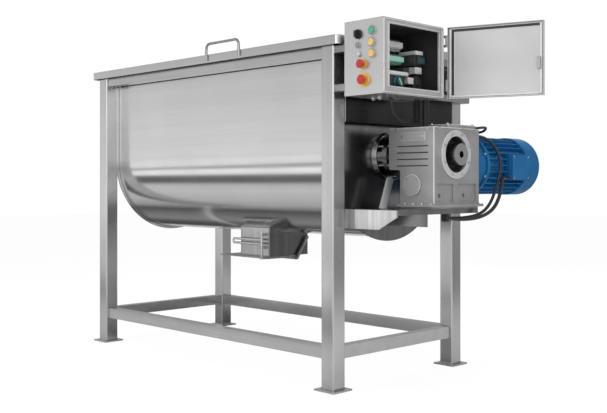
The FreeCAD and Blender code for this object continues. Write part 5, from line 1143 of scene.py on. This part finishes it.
cable(
    "cabinet_lead",
    "panel_cable",
    radius=6,
    points=[
        (1080, -263, 1251), (1080, -263, 1235), (1080, -253.4, 1199), (1080, -227, 1172.6),
        (1080, -191, 1163), (1080, -167, 1164), (1080, -124, 1168), (1080, -100, 1168),
    ],
)
cable(
    "gear_sensor_lead",
    "sensor_cable",
    radius=7,
    points=[
        (1196, 190, 1108), (1196, 214, 1108), (1201, 250, 1103), (1214, 284, 1084),
        (1230, 306, 1050), (1246, 315, 1003), (1249, 311, 956), (1243, 298, 905),
        (1240, 276, 852), (1237, 248, 805), (1230, 212, 770), (1214, 168, 749),
        (1186, 122, 740), (1162, 86, 738), (1150, 54, 739), (1150, 30, 739),
    ],
)
cable(
    "motor_supply_lead",
    "motor_cable",
    radius=8,
    points=[
        (1238, 372, 921), (1238, 348, 921), (1246, 331, 919), (1261, 306, 907),
        (1273, 282, 876), (1279, 256, 834), (1277, 226, 790), (1267, 184, 759),
        (1250, 134, 741), (1228, 84, 735), (1206, 44, 735), (1190, 8, 739),
        (1190, -16, 739),
    ],
)
cable(
    "motor_top_lead",
    "fan_lead",
    radius=6,
    points=[
        (1187, 175, 1145), (1187, 199, 1145), (1190, 232, 1148), (1190, 262, 1151),
        (1183, 289, 1151), (1168, 311, 1147), (1149, 325, 1139), (1123, 330, 1133),
        (1107, 330, 1133),
    ],
)

# Cable entries: black moulded glands with a hexagon foot and a tapered nut, the
# socket beside the conduit, the motor's lug and two clips. Two bright plugs close
# spare holes, and a ribbed sleeve covers the conduit.
NICKEL = coated("nickel_plate", grey(0.72), grey(0.58), rough=0.22, metal=1.0, grit=300.0, relief=0.02)
CABINET_UNDER = 1261


def gland(axis, centre, wall, mouth, radius, lead):
    """A hexagon foot, and a nut that tapers to the lead it grips."""
    foot = wall + (mouth - wall) * 0.4
    waist = wall + (mouth - wall) * 0.65
    nut = [(foot, radius * 0.86), (waist, radius * 0.84), (mouth, lead + 0.8)]
    return [
        lathe(axis, centre, [(wall, radius), (foot, radius)], steps=6),
        lathe(axis, centre, nut, steps=20),
    ]


entries = gland("z", (1080, -263), wall=CABINET_UNDER, mouth=1251, radius=10, lead=6)
entries += gland("y", (1196, 1108), wall=180, mouth=190, radius=12, lead=7)
entries += gland("y", (1238, 921), wall=390, mouth=372, radius=10, lead=8)
entries += gland("y", (1187, 1145), wall=165, mouth=175, radius=8, lead=6)
plug_in = [
    block((1068, 1092), (-100, -82), (1156, 1250)),
    block((1070, 1090), (-98, -84), (1250, CABINET_UNDER)),
]
lug = block((1081, 1109), (318, 342), (1111, 1143))
CLIP_Z = (727, 779)
clips = [block((1138, 1162), (12, 30), CLIP_Z), block((1178, 1202), (-34, -16), CLIP_Z)]
entries += [*plug_in, lug, *clips]
built("cable_entries", entries, BLACK_PLASTIC, "control_black", "frame", "cable_glands", edge=0.9)
plug = [(CABINET_UNDER, 12), (1256, 12), (1254, 8), (1251, 6)]
plugs = [lathe("z", spot, plug, steps=18) for spot in ((1000, -290), (1046, -301))]
built("spare_plugs", plugs, NICKEL, "control_black", "frame", edge=0.5)
CONDUIT = (1110, -64)
COLLAR = 16
TUBE = 13.5
ROOT = 13.6
RIB = 15
RIB_STEP = 6
tube = [(1137, COLLAR), (1143, COLLAR), (1146, TUBE)]
tube += [(1252, TUBE), (1255, COLLAR), (CABINET_UNDER, COLLAR)]
sleeve = [lathe("z", CONDUIT, tube)]
for low in range(1148, 1250, RIB_STEP):
    rib = [(low, ROOT), (low + 1.2, RIB), (low + 3.2, RIB), (low + 4.4, ROOT)]
    sleeve.append(lathe("z", CONDUIT, rib))
built("conduit_sleeve", sleeve, BLACK_PLASTIC, "cable_black", "frame", "cable_conduit", edge=0.3)
